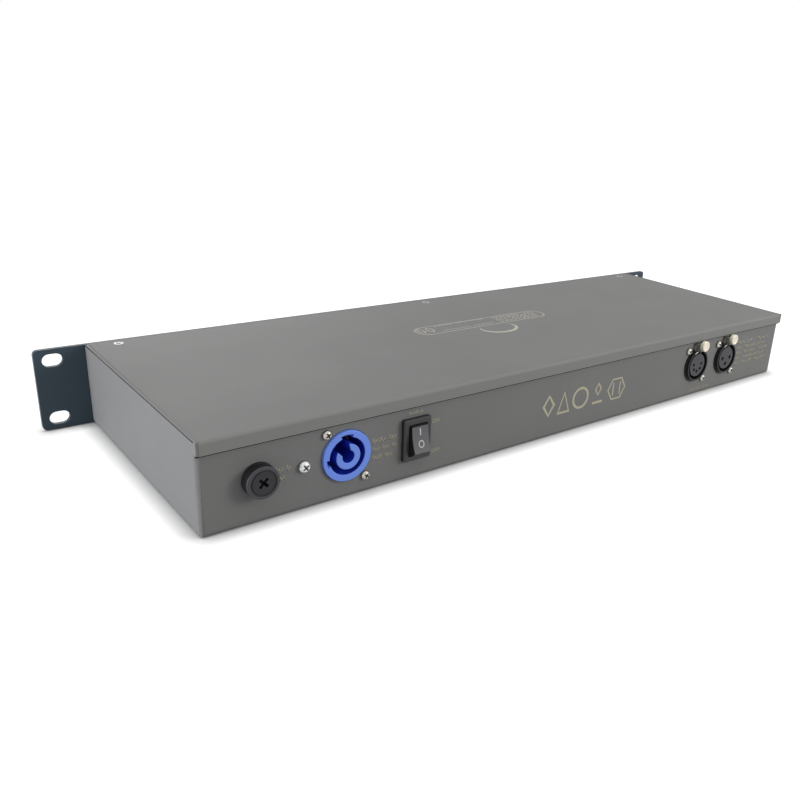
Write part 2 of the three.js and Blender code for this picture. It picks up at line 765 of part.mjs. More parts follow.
function makeSwitchHousing() {
  const { bezelWidth, bezelHeight, bezelBevel, bezelCorner, bodyWidth, bodyHeight } = rockerSwitch;
  const inner = roundedBox(bezelWidth - bezelBevel * 2, bezelHeight - bezelBevel * 2, bezelCorner);
  const bevel = { bevelEnabled: true, bevelSegments: 1, bevelSize: bezelBevel, bevelThickness: bezelBevel };
  const depth = rockerSwitch.depth;
  const bevelled = new THREE.ExtrudeGeometry(inner, { depth, curveSegments: bendSides, ...bevel });
  bevelled.translate(0, 0, rockerSwitch.bezelProud - bezelBevel - depth);
  const rim = block([-bezelWidth, bezelWidth], [-bezelHeight, bezelHeight], [seat, depth]);
  const across = [-bodyWidth / 2, bodyWidth / 2];
  const up = [-bodyHeight / 2, bodyHeight / 2];
  const body = block(across, up, [-depth, seat + sink]);
  const open = block(
    [-rockerSwitch.openingWidth / 2, rockerSwitch.openingWidth / 2],
    [-rockerSwitch.openingHeight / 2, rockerSwitch.openingHeight / 2],
    [-rockerSwitch.openingDepth, rockerSwitch.bezelProud + overrun],
  );
  const pinReach = rockerSwitch.openingWidth / 2 + rockerSwitch.pivotLength;
  const pivot = cylinder(rockerSwitch.pivotRadius + seat, -pinReach, pinReach).rotateY(Math.PI / 2);
  pivot.translate(0, 0, rockerSwitch.pivotRise);
  const { tabWidth, tabThickness, tabLength } = rockerSwitch;
  const tabs = switchTabs.map(({ x, y }) => blade(tabWidth, tabThickness, tabLength, depth, x, y));
  const bezel = solid(bevelled).intersect(solid(rim));
  return bezel.add(solid(body)).subtract(solid(open)).subtract(solid(pivot)).add(joined(tabs));
}

// The rocker's side view, level, with each end curved round the pivot
function rockerShape() {
  const { pivotRise, skirt, faceEnd, faceMiddle, rootWidth, rootDepth } = rockerSwitch;
  const foot = -THREE.MathUtils.degToRad(skirt);
  const shape = new THREE.Shape();
  shape.moveTo(rockerReach * Math.cos(foot), rockerReach * Math.sin(foot) + pivotRise);
  shape.absarc(0, pivotRise, rockerReach, foot, rockerTop, false);
  shape.quadraticCurveTo(0, faceMiddle * 2 - faceEnd, -rockerReach * Math.cos(rockerTop), faceEnd);
  shape.absarc(0, pivotRise, rockerReach, Math.PI - rockerTop, Math.PI - foot, false);
  shape.lineTo(-rootWidth / 2, -rootDepth);
  shape.lineTo(rootWidth / 2, -rootDepth);
  return shape;
}

function makeRocker() {
  const wide = rockerSwitch.openingWidth / 2 - seat;
  const pinReach = wide + rockerSwitch.pivotLength;
  const key = plate(rockerShape(), -wide, wide, bendSides * 2).applyMatrix4(sideways);
  const corners = key.attributes.position;
  for (let i = 0; i < corners.count; i += 1) {
    const over = Math.max(0, corners.getZ(i) - rockerSwitch.draftFrom);
    corners.setX(i, corners.getX(i) * (1 - (rockerSwitch.draftShare * over) / wide));
  }
  const pivot = cylinder(rockerSwitch.pivotRadius, -pinReach, pinReach).rotateY(Math.PI / 2);
  pivot.translate(0, 0, rockerSwitch.pivotRise);
  const rocker = geometryOf(joined([key, pivot])).translate(0, 0, -rockerSwitch.pivotRise);
  rocker.rotateX(-rockerTilt);
  return rocker.translate(0, 0, rockerSwitch.pivotRise);
}

add('switch_housing', placed(geometryOf(makeSwitchHousing()), switchPlace), blackPlastic);
add('switch_rocker', placed(makeRocker(), switchPlace), blackPlastic);

// Signal sockets. A wall's thickness says how deep the mounting plate lies behind its face.
const insertFace = socket.ringProud - socket.insertDrop;

function contactHoles(angles) {
  const depths = [insertFace - socket.contactDepth, insertFace + overrun];
  const radius = angles.length > threeContacts.length ? socket.smallContact : socket.contact;
  return angles.map((degrees) => {
    const { x, y } = polar(socket.contactCircle, degrees);
    return cylinder(radius, ...depths).translate(x, y, 0);
  });
}

function socketBody(inside, wall, screws) {
  const profile = [
    [0, -socket.length],
    [socket.baseRadius, -socket.length],
    [socket.baseRadius, socket.baseProud],
    [socket.ringRadius, socket.baseProud],
    [socket.ringRadius, socket.ringProud],
    [socket.bore, socket.ringProud],
    ...inside,
  ];
  return solid(turned(profile)).add(mountingPlate(wall, socket.bore, screws));
}

const openBore = [[socket.bore, -socket.cavity], [0, -socket.cavity]];
const inputBore = [[socket.bore, -inputCavity], [0, -inputCavity]];
const filledBore = [
  [socket.bore, -socket.groove],
  [socket.insertRadius, -socket.groove],
  [socket.insertRadius, insertFace],
  [0, insertFace],
];

// Adds the latch housing over the ring, and cuts the latch's slot through it
function withLatchHousing(body, wall) {
  const wide = socket.humpWidth / 2;
  const humpUp = [socket.ringRadius - sink, socket.humpAbove];
  const hump = block([-wide, wide], humpUp, [-wall - seat - sink, socket.humpProud]);
  const slotWide = latch.stemWidth / 2 + seat;
  const slotDepth = latch.stemDepth + latch.travel + seat;
  const slotUp = [socket.insertRadius + seat, latch.stemTo + seat];
  const slot = block([-slotWide, slotWide], slotUp, [-slotDepth, socket.ringProud + overrun]);
  return body.add(solid(hump)).subtract(solid(slot));
}

function makeInsert(angles) {
  const back = seat - socket.cavity;
  const profile = [
    [0, back],
    [socket.bore - seat, back],
    [socket.bore - seat, back + socket.foot],
    [socket.insertRadius, back + socket.foot],
    [socket.insertRadius, insertFace],
    [0, insertFace],
  ];
  return contactHoles(angles).reduce((body, hole) => body.subtract(solid(hole)), solid(turned(profile)));
}

function makeLatch() {
  const back = latch.proud - latch.thickness;
  const wide = latch.stemWidth / 2;
  const button = cylinder(latch.radius, back, latch.proud, screwSides).translate(0, latch.rise, 0);
  const stem = block([-wide, wide], [latch.stemFrom, latch.stemTo], [-latch.stemDepth, back + sink]);
  return geometryOf(joined([button, stem]));
}

function addLinkSocket(name, place, angles) {
  const shell = withLatchHousing(socketBody(openBore, chassis.sheet, socket), chassis.sheet);
  add(`${name}_socket`, placed(geometryOf(shell), place), blackPlastic);
  add(`${name}_insert`, placed(geometryOf(makeInsert(angles)), place), greyPlastic);
  add(`${name}_latch`, placed(makeLatch(), place), nickel);
  addRearScrews([`${name}_screw_upper`, `${name}_screw_lower`], socket, place);
}

addLinkSocket('link5', linkFive, fiveContacts);
addLinkSocket('link3', linkThree, threeContacts);

function makeInputSocket() {
  const key = [-inputKey.width / 2, inputKey.width / 2];
  const keyDepth = [-inputCavity + seat + plugPins.discThickness, socket.ringProud + overrun];
  const reach = [-socket.bore - inputKey.depth / 2, -socket.bore + inputKey.depth / 2];
  const groove = block(key, reach, keyDepth);
  return socketBody(inputBore, panel.thickness).subtract(solid(groove));
}

function makeInputInsert() {
  const back = seat - inputCavity;
  const front = back + plugPins.discThickness;
  const disc = cylinder(socket.bore - seat, back, front, ringSides);
  const tip = socket.ringProud - plugPins.tipDrop;
  const pinProfile = [
    [0, front - sink],
    [plugPins.radius, front - sink],
    [plugPins.radius, tip - plugPins.tipRound],
    [plugPins.radius - plugPins.tipRound, tip],
    [0, tip],
  ];
  const pins = threeContacts.map((degrees) => {
    const { x, y } = polar(socket.contactCircle, degrees);
    return turned(pinProfile, holeSides).translate(x, y, 0);
  });
  return joined([disc, ...pins]);
}

add('input_socket', placed(geometryOf(makeInputSocket()), inputPlace), blackPlastic);
add('input_insert', placed(geometryOf(makeInputInsert()), inputPlace), greyPlastic);

function makeOutputSocket() {
  const shell = withLatchHousing(socketBody(filledBore, panel.thickness), panel.thickness);
  return contactHoles(threeContacts).reduce((body, hole) => body.subtract(solid(hole)), shell);
}

const outputSocket = geometryOf(makeOutputSocket());
outputPlaces.forEach((place, i) => {
  add(`output_socket_${i + 1}`, placed(outputSocket, place), blackPlastic);
});
outputPlaces.forEach((place, i) => {
  add(`output_latch_${i + 1}`, placed(makeLatch(), place), nickel);
});

// Light guide whose domes show beside the outputs
function makeIndicatorStrip() {
  const back = -panel.thickness - seat - flange.thickness - seat;
  const low = indicatorRise - indicator.barHeight / 2;
  const high = indicatorRise + indicator.barHeight / 2;
  const from = indicatorXs[0] - indicator.barEnd;
  const to = indicatorXs[outputCount - 1] + indicator.barEnd;
  const bar = block([from, to], [low, high], [back - indicator.barThickness, back]);
  const dome = [
    [0, back - sink],
    [indicator.radius, back - sink],
    [indicator.radius, 0],
    [indicator.radius * Math.cos(Math.PI / 4), indicator.proud * Math.sin(Math.PI / 4)],
    [0, indicator.proud],
  ];
  const guides = indicatorXs.map((x) => turned(dome, holeSides).translate(x, indicatorRise, 0));
  return joined([bar, ...guides]);
}

// Boards and what stands on them
function makeDriverBoard() {
  const wide = windowHalf - board.marginX;
  const front = panelFront + socket.length + seat;
  const low = rowZ - board.height / 2;
  return block([-wide, wide], [front, front + board.thickness], [low, low + board.height]);
}

function makePowerBoard() {
  const wide = powerBoard.width / 2;
  const deep = powerBoard.depth / 2;
  const across = [powerBoardX - wide, powerBoardX + wide];
  const along = [powerBoardY - deep, powerBoardY + deep];
  let sheet = solid(block(across, along, [boardTop - board.thickness, boardTop]));
  for (const [x, y] of boardCorners()) {
    const hole = cylinder(powerBoard.peg + seat, powerBoardZ, boardTop + overrun).translate(x, y, 0);
    sheet = sheet.subtract(solid(hole));
  }
  return sheet;
}

function makeTransformer() {
  const x = half * transformerXShare;
  const y = chassis.depth * transformerYShare;
  const low = chassis.sheet + seat;
  const wide = transformer.width / 2;
  const deep = transformer.depth / 2;
  const coilWide = transformer.coilWidth / 2;
  const coilDeep = deep + transformer.coilReach;
  const coilLow = low + (transformer.height - transformer.coilHeight) / 2;
  const core = block([x - wide, x + wide], [y - deep, y + deep], [low, low + transformer.height]);
  const coilZ = [coilLow, coilLow + transformer.coilHeight];
  const coil = block([x - coilWide, x + coilWide], [y - coilDeep, y + coilDeep], coilZ);
  return joined([core, coil]);
}

function makeCapacitor() {
  const low = boardTop + seat;
  const high = low + capacitor.height;
  const profile = [
    [0, low],
    [capacitor.radius, low],
    [capacitor.radius, high - capacitor.edge],
    [capacitor.radius - capacitor.edge, high],
    [0, high],
  ];
  return turned(profile, ringSides).translate(half * capacitorXShare, powerBoardY, 0);
}

function makeHeatsink() {
  const x = half * heatsinkXShare;
  const low = boardTop + seat;
  const up = [low, low + heatsink.height];
  const across = [x - heatsink.width / 2, x + heatsink.width / 2];
  const spine = block(across, [powerBoardY, powerBoardY + heatsink.thickness], up);
  const step = (heatsink.width - heatsink.thickness) / (heatsink.fins - 1);
  const fins = Array.from({ length: heatsink.fins }, (unused, i) => {
    const left = x - heatsink.width / 2 + step * i;
    const reach = [powerBoardY - heatsink.finDepth, powerBoardY + sink];
    return block([left, left + heatsink.thickness], reach, up);
  });
  return joined([spine, ...fins]);
}

add('indicator_strip', placed(geometryOf(makeIndicatorStrip()), onFront(0)), clear);
add('driver_board', makeDriverBoard(), greenBoard);
add('power_board', makePowerBoard(), greenBoard);
add('transformer', makeTransformer(), steelCore);
add('reservoir_capacitor', makeCapacitor(), blackPlastic);
add('regulator_heatsink', makeHeatsink(), aluminium);

// Leads. Each end is a sleeve pushed over a blade, and the wire runs from sleeve to sleeve.
function tabTip(place, tab, sizes) {
  return new THREE.Vector3(tab.x, tab.y, -sizes.back - sizes.tabLength).applyMatrix4(place.matrix);
}

// The sleeve's mouth grips the last stretch of a blade that points along -Y
function sleeve(place, tab, sizes) {
  const tip = tabTip(place, tab, sizes);
  const wide = sizes.tabWidth / 2 + seat;
  const high = sizes.tabThickness / 2 + seat;
  const mouth = tip.y + receptacle.insert;
  const back = mouth - receptacle.length - receptacle.wall;
  const outer = block(
    [tip.x - wide - receptacle.wall, tip.x + wide + receptacle.wall],
    [back, mouth],
    [tip.z - high - receptacle.wall, tip.z + high + receptacle.wall],
  );
  const along = [tip.y - seat, mouth + overrun];
  const slot = block([tip.x - wide, tip.x + wide], along, [tip.z - high, tip.z + high]);
  return { body: solid(outer).subtract(solid(slot)), back: new THREE.Vector3(tip.x, back, tip.z) };
}

function wire(curve) {
  const corner = 360 / lead.sides;
  const corners = Array.from({ length: lead.sides }, (unused, i) => polar(lead.radius, corner * i));
  const section = new THREE.Shape(corners);
  const options = { steps: lead.steps, bevelEnabled: false, extrudePath: curve };
  return solid(new THREE.ExtrudeGeometry(section, options));
}

function slackCurve(start, end, reach) {
  const inwards = new THREE.Vector3(0, -reach, 0);
  const from = start.clone().add(new THREE.Vector3(0, sink, 0));
  const to = end.clone().add(new THREE.Vector3(0, sink, 0));
  return new THREE.CubicBezierCurve3(from, start.clone().add(inwards), end.clone().add(inwards), to);
}

const inletEnd = (tab) => sleeve(inletPlace, tab, { ...inlet, back: inlet.length });
const fuseEnd = (tab) => sleeve(fusePlace, tab, { ...fuse, back: fuse.length });
const switchEnd = (tab) => sleeve(switchPlace, tab, { ...rockerSwitch, back: rockerSwitch.depth });

function makeLead(one, other, reach) {
  return one.body.add(other.body).add(wire(slackCurve(one.back, other.back, reach)));
}

function makeEarthLead() {
  const end = inletEnd(inletTabs.earth);
  const wall = chassis.sheet + seat + earthNut.thickness + seat;
  const ring = cylinder(ringTerminal.radius, -wall - ringTerminal.thickness, -wall, screwSides);
  const bolt = cylinder(earthHead.shank + seat, -wall - ringTerminal.thickness - overrun, -wall + overrun);
  const low = -ringTerminal.radius - ringTerminal.barrelLength;
  const barrel = cylinder(ringTerminal.barrel, low, -earthHead.shank * 2, screwSides).rotateX(-Math.PI / 2);
  barrel.translate(0, 0, -wall - ringTerminal.barrel);
  const terminal = joined([ring, barrel]).subtract(solid(bolt));
  const placedTerminal = solid(placed(geometryOf(terminal), groundPlace));
  const start = new THREE.Vector3(0, low + sink, -wall - ringTerminal.barrel);
  start.applyMatrix4(groundPlace.matrix);
  const down = start.clone().add(new THREE.Vector3(0, 0, -leadReach.drop));
  const turn = end.back.clone().add(new THREE.Vector3(0, -leadReach.earth, 0));
  const finishPoint = end.back.clone().add(new THREE.Vector3(0, sink, 0));
  const curve = new THREE.CubicBezierCurve3(start, down, turn, finishPoint);
  return placedTerminal.add(end.body).add(wire(curve));
}

const liveLead = makeLead(inletEnd(inletTabs.live), fuseEnd(fuseTabs[0]), leadReach.live);
const switchedLead = makeLead(fuseEnd(fuseTabs[1]), switchEnd(switchTabs[0]), leadReach.switched);
const neutralLead = makeLead(inletEnd(inletTabs.neutral), switchEnd(switchTabs[1]), leadReach.neutral);
add('mains_lead_live', liveLead, brownLead);
add('mains_lead_switched', switchedLead, brownLead);
add('mains_lead_neutral', neutralLead, blueLead);
add('earth_lead', makeEarthLead(), earthGreen);

// Ribbon cable from the link sockets to the driver board, with a header at each end
function makeRibbon() {
  const x = (linkFive.position.x + linkThree.position.x) / 2;
  const rear = rearFace - socket.length - seat;
  const front = panelFront + socket.length + seat + board.thickness + seat;
  const up = [rowZ - ribbon.headerHeight / 2, rowZ + ribbon.headerHeight / 2];
  const wide = ribbon.width / 2;
  const headerWide = ribbonHeaderWidth / 2;
  const rearHeader = block([x - headerWide, x + headerWide], [rear - ribbon.headerDepth, rear], up);
  const frontHeader = block([x - wide, x + wide], [front, front + ribbon.headerDepth], up);
  const from = front + ribbon.headerDepth - sink;
  const to = rear - ribbon.headerDepth + sink;
  const middle = Array.from({ length: ribbon.steps + 1 }, (unused, i) => {
    const share = i / ribbon.steps;
    return [from + (to - from) * share, rowZ - ribbon.sag * Math.sin(Math.PI * share)];
  });
  const thick = ribbon.thickness / 2;
  const above = middle.map(([y, z]) => new THREE.Vector2(y, z + thick));
  const below = middle.map(([y, z]) => new THREE.Vector2(y, z - thick)).reverse();
  const tape = plate(new THREE.Shape([...above, ...below]), x - wide, x + wide).applyMatrix4(sideways);
  return joined([rearHeader, frontHeader, tape]);
}

add('link_ribbon', makeRibbon(), greyPlastic);

export default unit;
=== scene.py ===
import math
from types import SimpleNamespace as Sizes

import bmesh
import bpy
from mathutils import Matrix, Vector


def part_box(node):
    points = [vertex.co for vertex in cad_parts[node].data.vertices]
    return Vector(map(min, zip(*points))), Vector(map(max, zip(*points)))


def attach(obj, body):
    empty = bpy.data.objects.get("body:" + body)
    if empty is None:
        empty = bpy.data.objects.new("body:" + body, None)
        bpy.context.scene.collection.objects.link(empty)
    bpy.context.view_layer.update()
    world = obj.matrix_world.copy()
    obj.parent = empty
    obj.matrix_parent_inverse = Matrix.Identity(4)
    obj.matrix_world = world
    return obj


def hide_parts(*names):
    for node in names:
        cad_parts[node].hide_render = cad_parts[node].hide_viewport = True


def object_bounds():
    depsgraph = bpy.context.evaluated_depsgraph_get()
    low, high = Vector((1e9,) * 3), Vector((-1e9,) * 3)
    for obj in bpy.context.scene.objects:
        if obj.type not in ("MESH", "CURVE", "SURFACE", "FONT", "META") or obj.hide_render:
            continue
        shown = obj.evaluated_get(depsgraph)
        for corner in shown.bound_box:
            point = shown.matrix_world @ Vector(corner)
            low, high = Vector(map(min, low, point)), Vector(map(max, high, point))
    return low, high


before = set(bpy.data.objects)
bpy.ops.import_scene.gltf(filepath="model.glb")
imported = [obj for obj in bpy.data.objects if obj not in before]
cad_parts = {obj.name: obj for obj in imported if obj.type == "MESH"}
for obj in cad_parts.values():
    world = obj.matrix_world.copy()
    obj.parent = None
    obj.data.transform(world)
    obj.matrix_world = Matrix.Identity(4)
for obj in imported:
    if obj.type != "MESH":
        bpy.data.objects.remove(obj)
cad_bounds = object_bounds()

MM = 0.001
SCENE = bpy.context.scene
UP = Vector((0, 0, 1))
RIM_SIDES = 96
OVAL_SIDES = 48
SCREW_SIDES = 40
PIN_SIDES = 32
FILLET_STEPS = 4
SLIGHT = 0.01  # a hair's breadth in millimetres, so that two faces never share a plane
OVERRUN = 1  # how far a cutting tool reaches past what it cuts, in millimetres
LAP = 0.4  # how far joined forms reach into each other, in millimetres
FLAT = math.radians(0.5)  # faces that meet at less than this are one face
LONGEST_FILLET = 0.49  # the share of a side that the fillet at one of its ends may take
FOLD = 40  # sheets and plain solids are eased where their faces turn by more degrees than this

# Sizes in millimetres. The wall fittings keep the sizes of the solids that they stand for.
SHEET = 1.2
PANEL = 2.5
SEAT = 0.3
INK_DEPTH = 0.03
LIP_REACH = 0.24
SOLID_EASE = 0.15
CAPITAL_SHARE = 0.7  # a capital letter's height as a share of the font's size
PLATE = Sizes(width=27, height=32, thickness=2, corner=3)
PAN_CROSS = Sizes(reach=0.62, width=0.85, depth=1.3, brim=0.3)  # reach is a share of the head's radius
FLAT_CROSS = Sizes(reach=0.6, width=0.7, depth=0.9, brim=0.2)
PAN_HEAD = Sizes(radius=2.3, height=1.7, shank=1.45, cross=PAN_CROSS)
EARTH_HEAD = Sizes(radius=2.9, height=2.2, shank=1.6, cross=PAN_CROSS)
FLAT_HEAD = Sizes(radius=2.6, height=1, shank=1.3, cross=FLAT_CROSS)
SOCKET = Sizes(
    screw_x=9.7, screw_z=10.8, base=11.5, base_proud=0.8, ring=10.7, ring_proud=2.3, bore=9.5, insert=7.8,
    insert_face=1.8, insert_foot=2, cavity=12, groove=5, length=21, hole=1.35, small_hole=1.1, circle=4.2,
    hole_depth=4, hump_width=9.2, hump_top=14.6, hump_proud=1, hump_corner=3.2,
)
THREE_HOLES = (180, 0, 270)
FIVE_HOLES = (170, 220, 270, 320, 10)
SLEEVE = Sizes(gap=0.12, wall=0.26, lip=2.4, foot=0.05, floor=0.3)
LATCH = Sizes(
    rise=14.1, radius=3.5, proud=6.6, thickness=2.6, travel=1.6, rim=1, dish_run=0.2, dish=0.18,
    stem_width=4, stem_from=10, stem_to=13.2, stem_depth=3.2,
)
# A thin bright strip that stands as a painted highlight on the ring's edge: its arc in degrees, its gaps,
# sink and rise in millimetres
EDGE_GLINT = Sizes(start=104, end=122, inner_gap=0.35, outer_gap=0.15, sunk=0.3, proud=0.35)
PINS = Sizes(
    radius=1.2, disc=3, tip=-0.9, root=0.2, cavity=15, key_width=2.2, key_depth=1.4, key_low=-11.7,
    key_high=3.3,
)
INLET = Sizes(
    radius=12.6, proud=1.4, bore=9.3, cavity=13, length=24, screw_x=10.1, screw_z=12.6, core_outer=6.3,
    core_inner=3.15, core_proud=2.2, core_start=148, core_end=446, core_lag=18, notch=1.5, notch_inset=0.5,
    notch_depth=3, contact_width=3.2, contact_thickness=0.9, contact_top=-11.6,
)
NOTCH_ARCS = ((72, 108), (180, 200))
CONTACT_ANGLES = (20, 230, 300)
FUSE = Sizes(
    flange=7.7, flange_top=1.4, cap=7.6, cap_back=1.7, cap_top=6, barrel=6.1, bore=5.2, bore_depth=20.3,
    length=27, sleeve_outer=4.8, sleeve_inner=3.1, sleeve_length=8, groove=5.6, groove_width=0.6,
    groove_depth=0.45, groove_slope=0.1, face_drop=0.05, rim_depth=0.62, slot_width=1.4, slot_length=5.4,
    slot_depth=1.6, slot_corner=0.35, tab_width=3, tab_y=3, tab_end=32,
)
SWITCH = Sizes(
    bezel_width=16, bezel_height=22, proud=3, corner=0.8, bevel=1, body_width=13.8, body_height=19.6,
    depth=15, open_width=11, open_height=16.8, open_depth=9, open_corner=0.5, pivot_rise=1.2, pin=1,
    pin_proud=0.8, tilt=13.5, skirt=20, face_middle=5.3, face_end=5.9, draft_from=2.4, draft=0.16,
    root_width=5, root_depth=5.2, tab_width=4.8, tab_off=4.2, tab_end=21,
)
TAB_THICKNESS = 0.8
ON_MARK = Sizes(width=0.6, height=3.4, y=3.8)
OFF_MARK = Sizes(radius_x=1.62, radius_y=1.86, width=0.42, y=-2.35)
ROCKER_INK = 0.05
INDICATOR = Sizes(radius=1.5, proud=0.9, low=0.1, rim=0.3, crown=0.4)
# Dark strips of painted shade in the gaps beside the cover, and under its rear lip
SIDE_GAP_SHADE = Sizes(width=0.44, length=147.4, y=74.2, inset=0.2, low=-1, high=-0.4)
LIP_SHADE = Sizes(height=1.2, drop=0.25, sunk=0.04)

# Camera at the photograph's viewing angle
panel_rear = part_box("front_panel")[1].y
camera_data = bpy.data.cameras.new("camera")
camera_data.lens = 36.092
camera_data.sensor_width = 36
camera_data.shift_x = -0.1125
camera = bpy.data.objects.new("camera", camera_data)
camera.location = (0.32146, panel_rear + 0.44168, 0.18125)
camera.rotation_euler = [math.radians(angle) for angle in (69.13, -3.69, 139.77)]
SCENE.collection.objects.link(camera)
SCENE.camera = camera

# Node materials
ROUGH_SPREAD = 0.08
COAT_ROUGHNESS = 0.15
# How far the cover's painted highlight at its rear fold goes towards its pale colour
FOLD_HIGHLIGHT_SHARE = 0.85


def colour(*parts):
    """An sRGB colour whose parts go up to 255, as the linear values that nodes take"""
    shares = [part / 255 for part in parts]
    linear = [share / 12.92 if share <= 0.04045 else ((share + 0.055) / 1.055) ** 2.4 for share in shares]
    return (*linear, 1)


def feed(node, feeds):
    """Gives a node's inputs links from sockets, or plain values"""
    for name, value in feeds.items():
        if isinstance(value, bpy.types.NodeSocket):
            node.id_data.links.new(value, node.inputs[name])
        else:
            node.inputs[name].default_value = value


def add_node(tree, kind, feeds, **settings):
    node = tree.nodes.new(f"ShaderNode{kind}")
    for key, value in settings.items():
        setattr(node, key, value)
    feed(node, feeds)
    return node


def place_in(tree):
    node = tree.nodes.get("place") or add_node(tree, "TexCoord", {}, name="place")
    return node.outputs["Object"]


def noise(tree, size, detail=3, stretch=(1, 1, 1)):
    """Noise whose grains are about size millimetres across"""
    scale = [1 / (MM * size * part) for part in stretch]
    mapping = add_node(tree, "Mapping", {"Vector": place_in(tree), "Scale": scale})
    feeds = {"Vector": mapping.outputs["Vector"], "Scale": 1, "Detail": detail}
    return add_node(tree, "TexNoise", feeds).outputs["Fac"]


def ranged(tree, value, low, high, from_low=0.3, from_high=0.7):
    feeds = {"Value": value, "From Min": from_low, "From Max": from_high, "To Min": low, "To Max": high}
    return add_node(tree, "MapRange", feeds).outputs["Result"]


def mixed(tree, share, first, second):
    return add_node(tree, "Mix", {0: share, 6: first, 7: second}, data_type="RGBA").outputs[2]


def bump(tree, height, strength, distance, **before):
    feeds = {"Height": height, "Strength": strength, "Distance": distance * MM, **before}
    return add_node(tree, "Bump", feeds).outputs["Normal"]


def shades(tree, share, rgba, spread):
    """The colour a little darker to a little lighter, as share goes over its range"""
    darker, lighter = (
        tuple(min(1, part * factor) for part in rgba[:3]) + (1,) for factor in (1 - spread, 1 + spread)
    )
    return mixed(tree, ranged(tree, share, 0, 1), darker, lighter)


def surface(name, rgb, roughness, grain, relief, spread=0.06, specular=0.5, metallic=0, strength=0.3,
            blotch=18, stretch=(1, 1, 1), coat=0, fold_highlight=None):
    """A painted, moulded or metal surface: fine grain, soft blotches, uneven roughness and, if asked, a
    painted highlight that grows along Y
    """
    material = bpy.data.materials.new(name)
    material.use_nodes = True
    tree = material.node_tree
    rgba = colour(*rgb)
    fine = noise(tree, grain, 4, stretch)
    broad = noise(tree, blotch)
    base = mixed(tree, 0.5, shades(tree, fine, rgba, spread), shades(tree, broad, rgba, spread / 2))
    # A painted highlight: the colour turns paler along Y, standing in for the light on the cover's rear
    # fold and lip
    if fold_highlight is not None:
        pale, start, end = fold_highlight
        along = add_node(tree, "SeparateXYZ", {"Vector": place_in(tree)}).outputs["Y"]
        base = mixed(tree, ranged(tree, along, 0, FOLD_HIGHLIGHT_SHARE, start, end), base, colour(*pale))
    smoothest, roughest = max(0.02, roughness - ROUGH_SPREAD), min(1, roughness + ROUGH_SPREAD)
    normal = bump(tree, fine, strength, relief)
    feed(tree.nodes["Principled BSDF"], {
        "Base Color": base,
        "Roughness": ranged(tree, fine, smoothest, roughest),
        "Normal": bump(tree, broad, strength / 4, relief, Normal=normal),
        "Metallic": metallic,
        "Specular IOR Level": specular,
        "Coat Weight": coat,
        "Coat Roughness": COAT_ROUGHNESS,
    })
    return material


# Each row: name, colour, roughness, grain and relief in millimetres, colour spread, specular, metallic,
# bump strength and blotch in millimetres
cover_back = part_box("top_cover")[1].y
POWDER = ((126, 126, 125), 0.66, 0.8, 0.06, 0.13, 0.25, 0, 0.5, 40)
GREY_PAINT = surface("grey_powder_coat", *POWDER)
# The cover's paint carries a painted highlight along its rear fold and lip
COVER_PAINT = surface("cover_powder_coat_fold_highlight", *POWDER,
                      fold_highlight=((140, 140, 138), cover_back - 2.4 * MM, cover_back - 0.6 * MM))
SLATE_PAINT = surface("slate_powder_coat", (58, 72, 82), 0.55, 0.8, 0.06, 0.1, 0.3, 0, 0.4, 30)
BLACK_PLASTIC = surface("black_moulding", (26, 26, 28), 0.5, 0.3, 0.015, 0.08, 0.25)
BLACK_SHELL = surface("black_shell", (22, 22, 24), 0.42, 0.25, 0.012, 0.08, 0.25)
GREY_PLASTIC = surface("grey_moulding", (78, 78, 82), 0.6, 0.3, 0.02, 0.07, 0.25)
# The fuse cap's face and rim: greys over its black sides, painted as lit, the rim palest
CAP_FACE_LIT = surface("cap_face_painted_light", (52, 52, 55), 0.6, 0.3, 0.03, 0.1, 0.25)
CAP_RIM_LIT = surface("cap_rim_painted_light", (68, 68, 72), 0.5, 0.3, 0.02, 0.1, 0.3)
ROCKER_FACE = surface("rocker_face", (102, 102, 104), 0.5, 0.3, 0.012, 0.05, 0.3)
BLUE_PLASTIC = surface("blue_moulding", (122, 158, 255), 0.42, 0.4, 0.012, 0.04, 0.3)
BEZEL_PLASTIC = surface("switch_bezel", (34, 34, 36), 0.45, 0.3, 0.015, 0.08)
HOUSING_GREY = surface("latch_housing", (132, 130, 122), 0.5, 0.3, 0.015, 0.08, 0.25)
# Near black, for painted shade in the fuse cap's slot and in the gaps round the cover
SHADE_BLACK = surface("slot_shade", (6, 6, 7), 0.7, 0.3, 0.01, 0.1, 0.1)
RECESS_SHADE = surface("recess_shade", (94, 90, 80), 0.5, 0.3, 0.01, 0.1)
# The inlet's blue, darkened as painted shade for the faces inside its bore
BLUE_IN_SHADE = surface("blue_moulding_painted_shade", (30, 54, 186), 0.5, 0.4, 0.012, 0.04, 0.2)
DULL_STEEL = surface("dull_screw_steel", (168, 167, 164), 0.42, 0.25, 0.01, 0.08, 0.5, 0.8)
NICKEL = surface("nickel_plate", (184, 180, 170), 0.26, 0.25, 0.006, 0.05, 0.5, 1)
ZINC = surface("zinc_plate", (204, 205, 206), 0.36, 0.25, 0.006, 0.06, 0.5, 1)
LATCH_METAL = surface("satin_nickel", (236, 229, 208), 0.46, 0.2, 0.01, 0.05, 0.5, 0.35, stretch=(4, 1, 1))
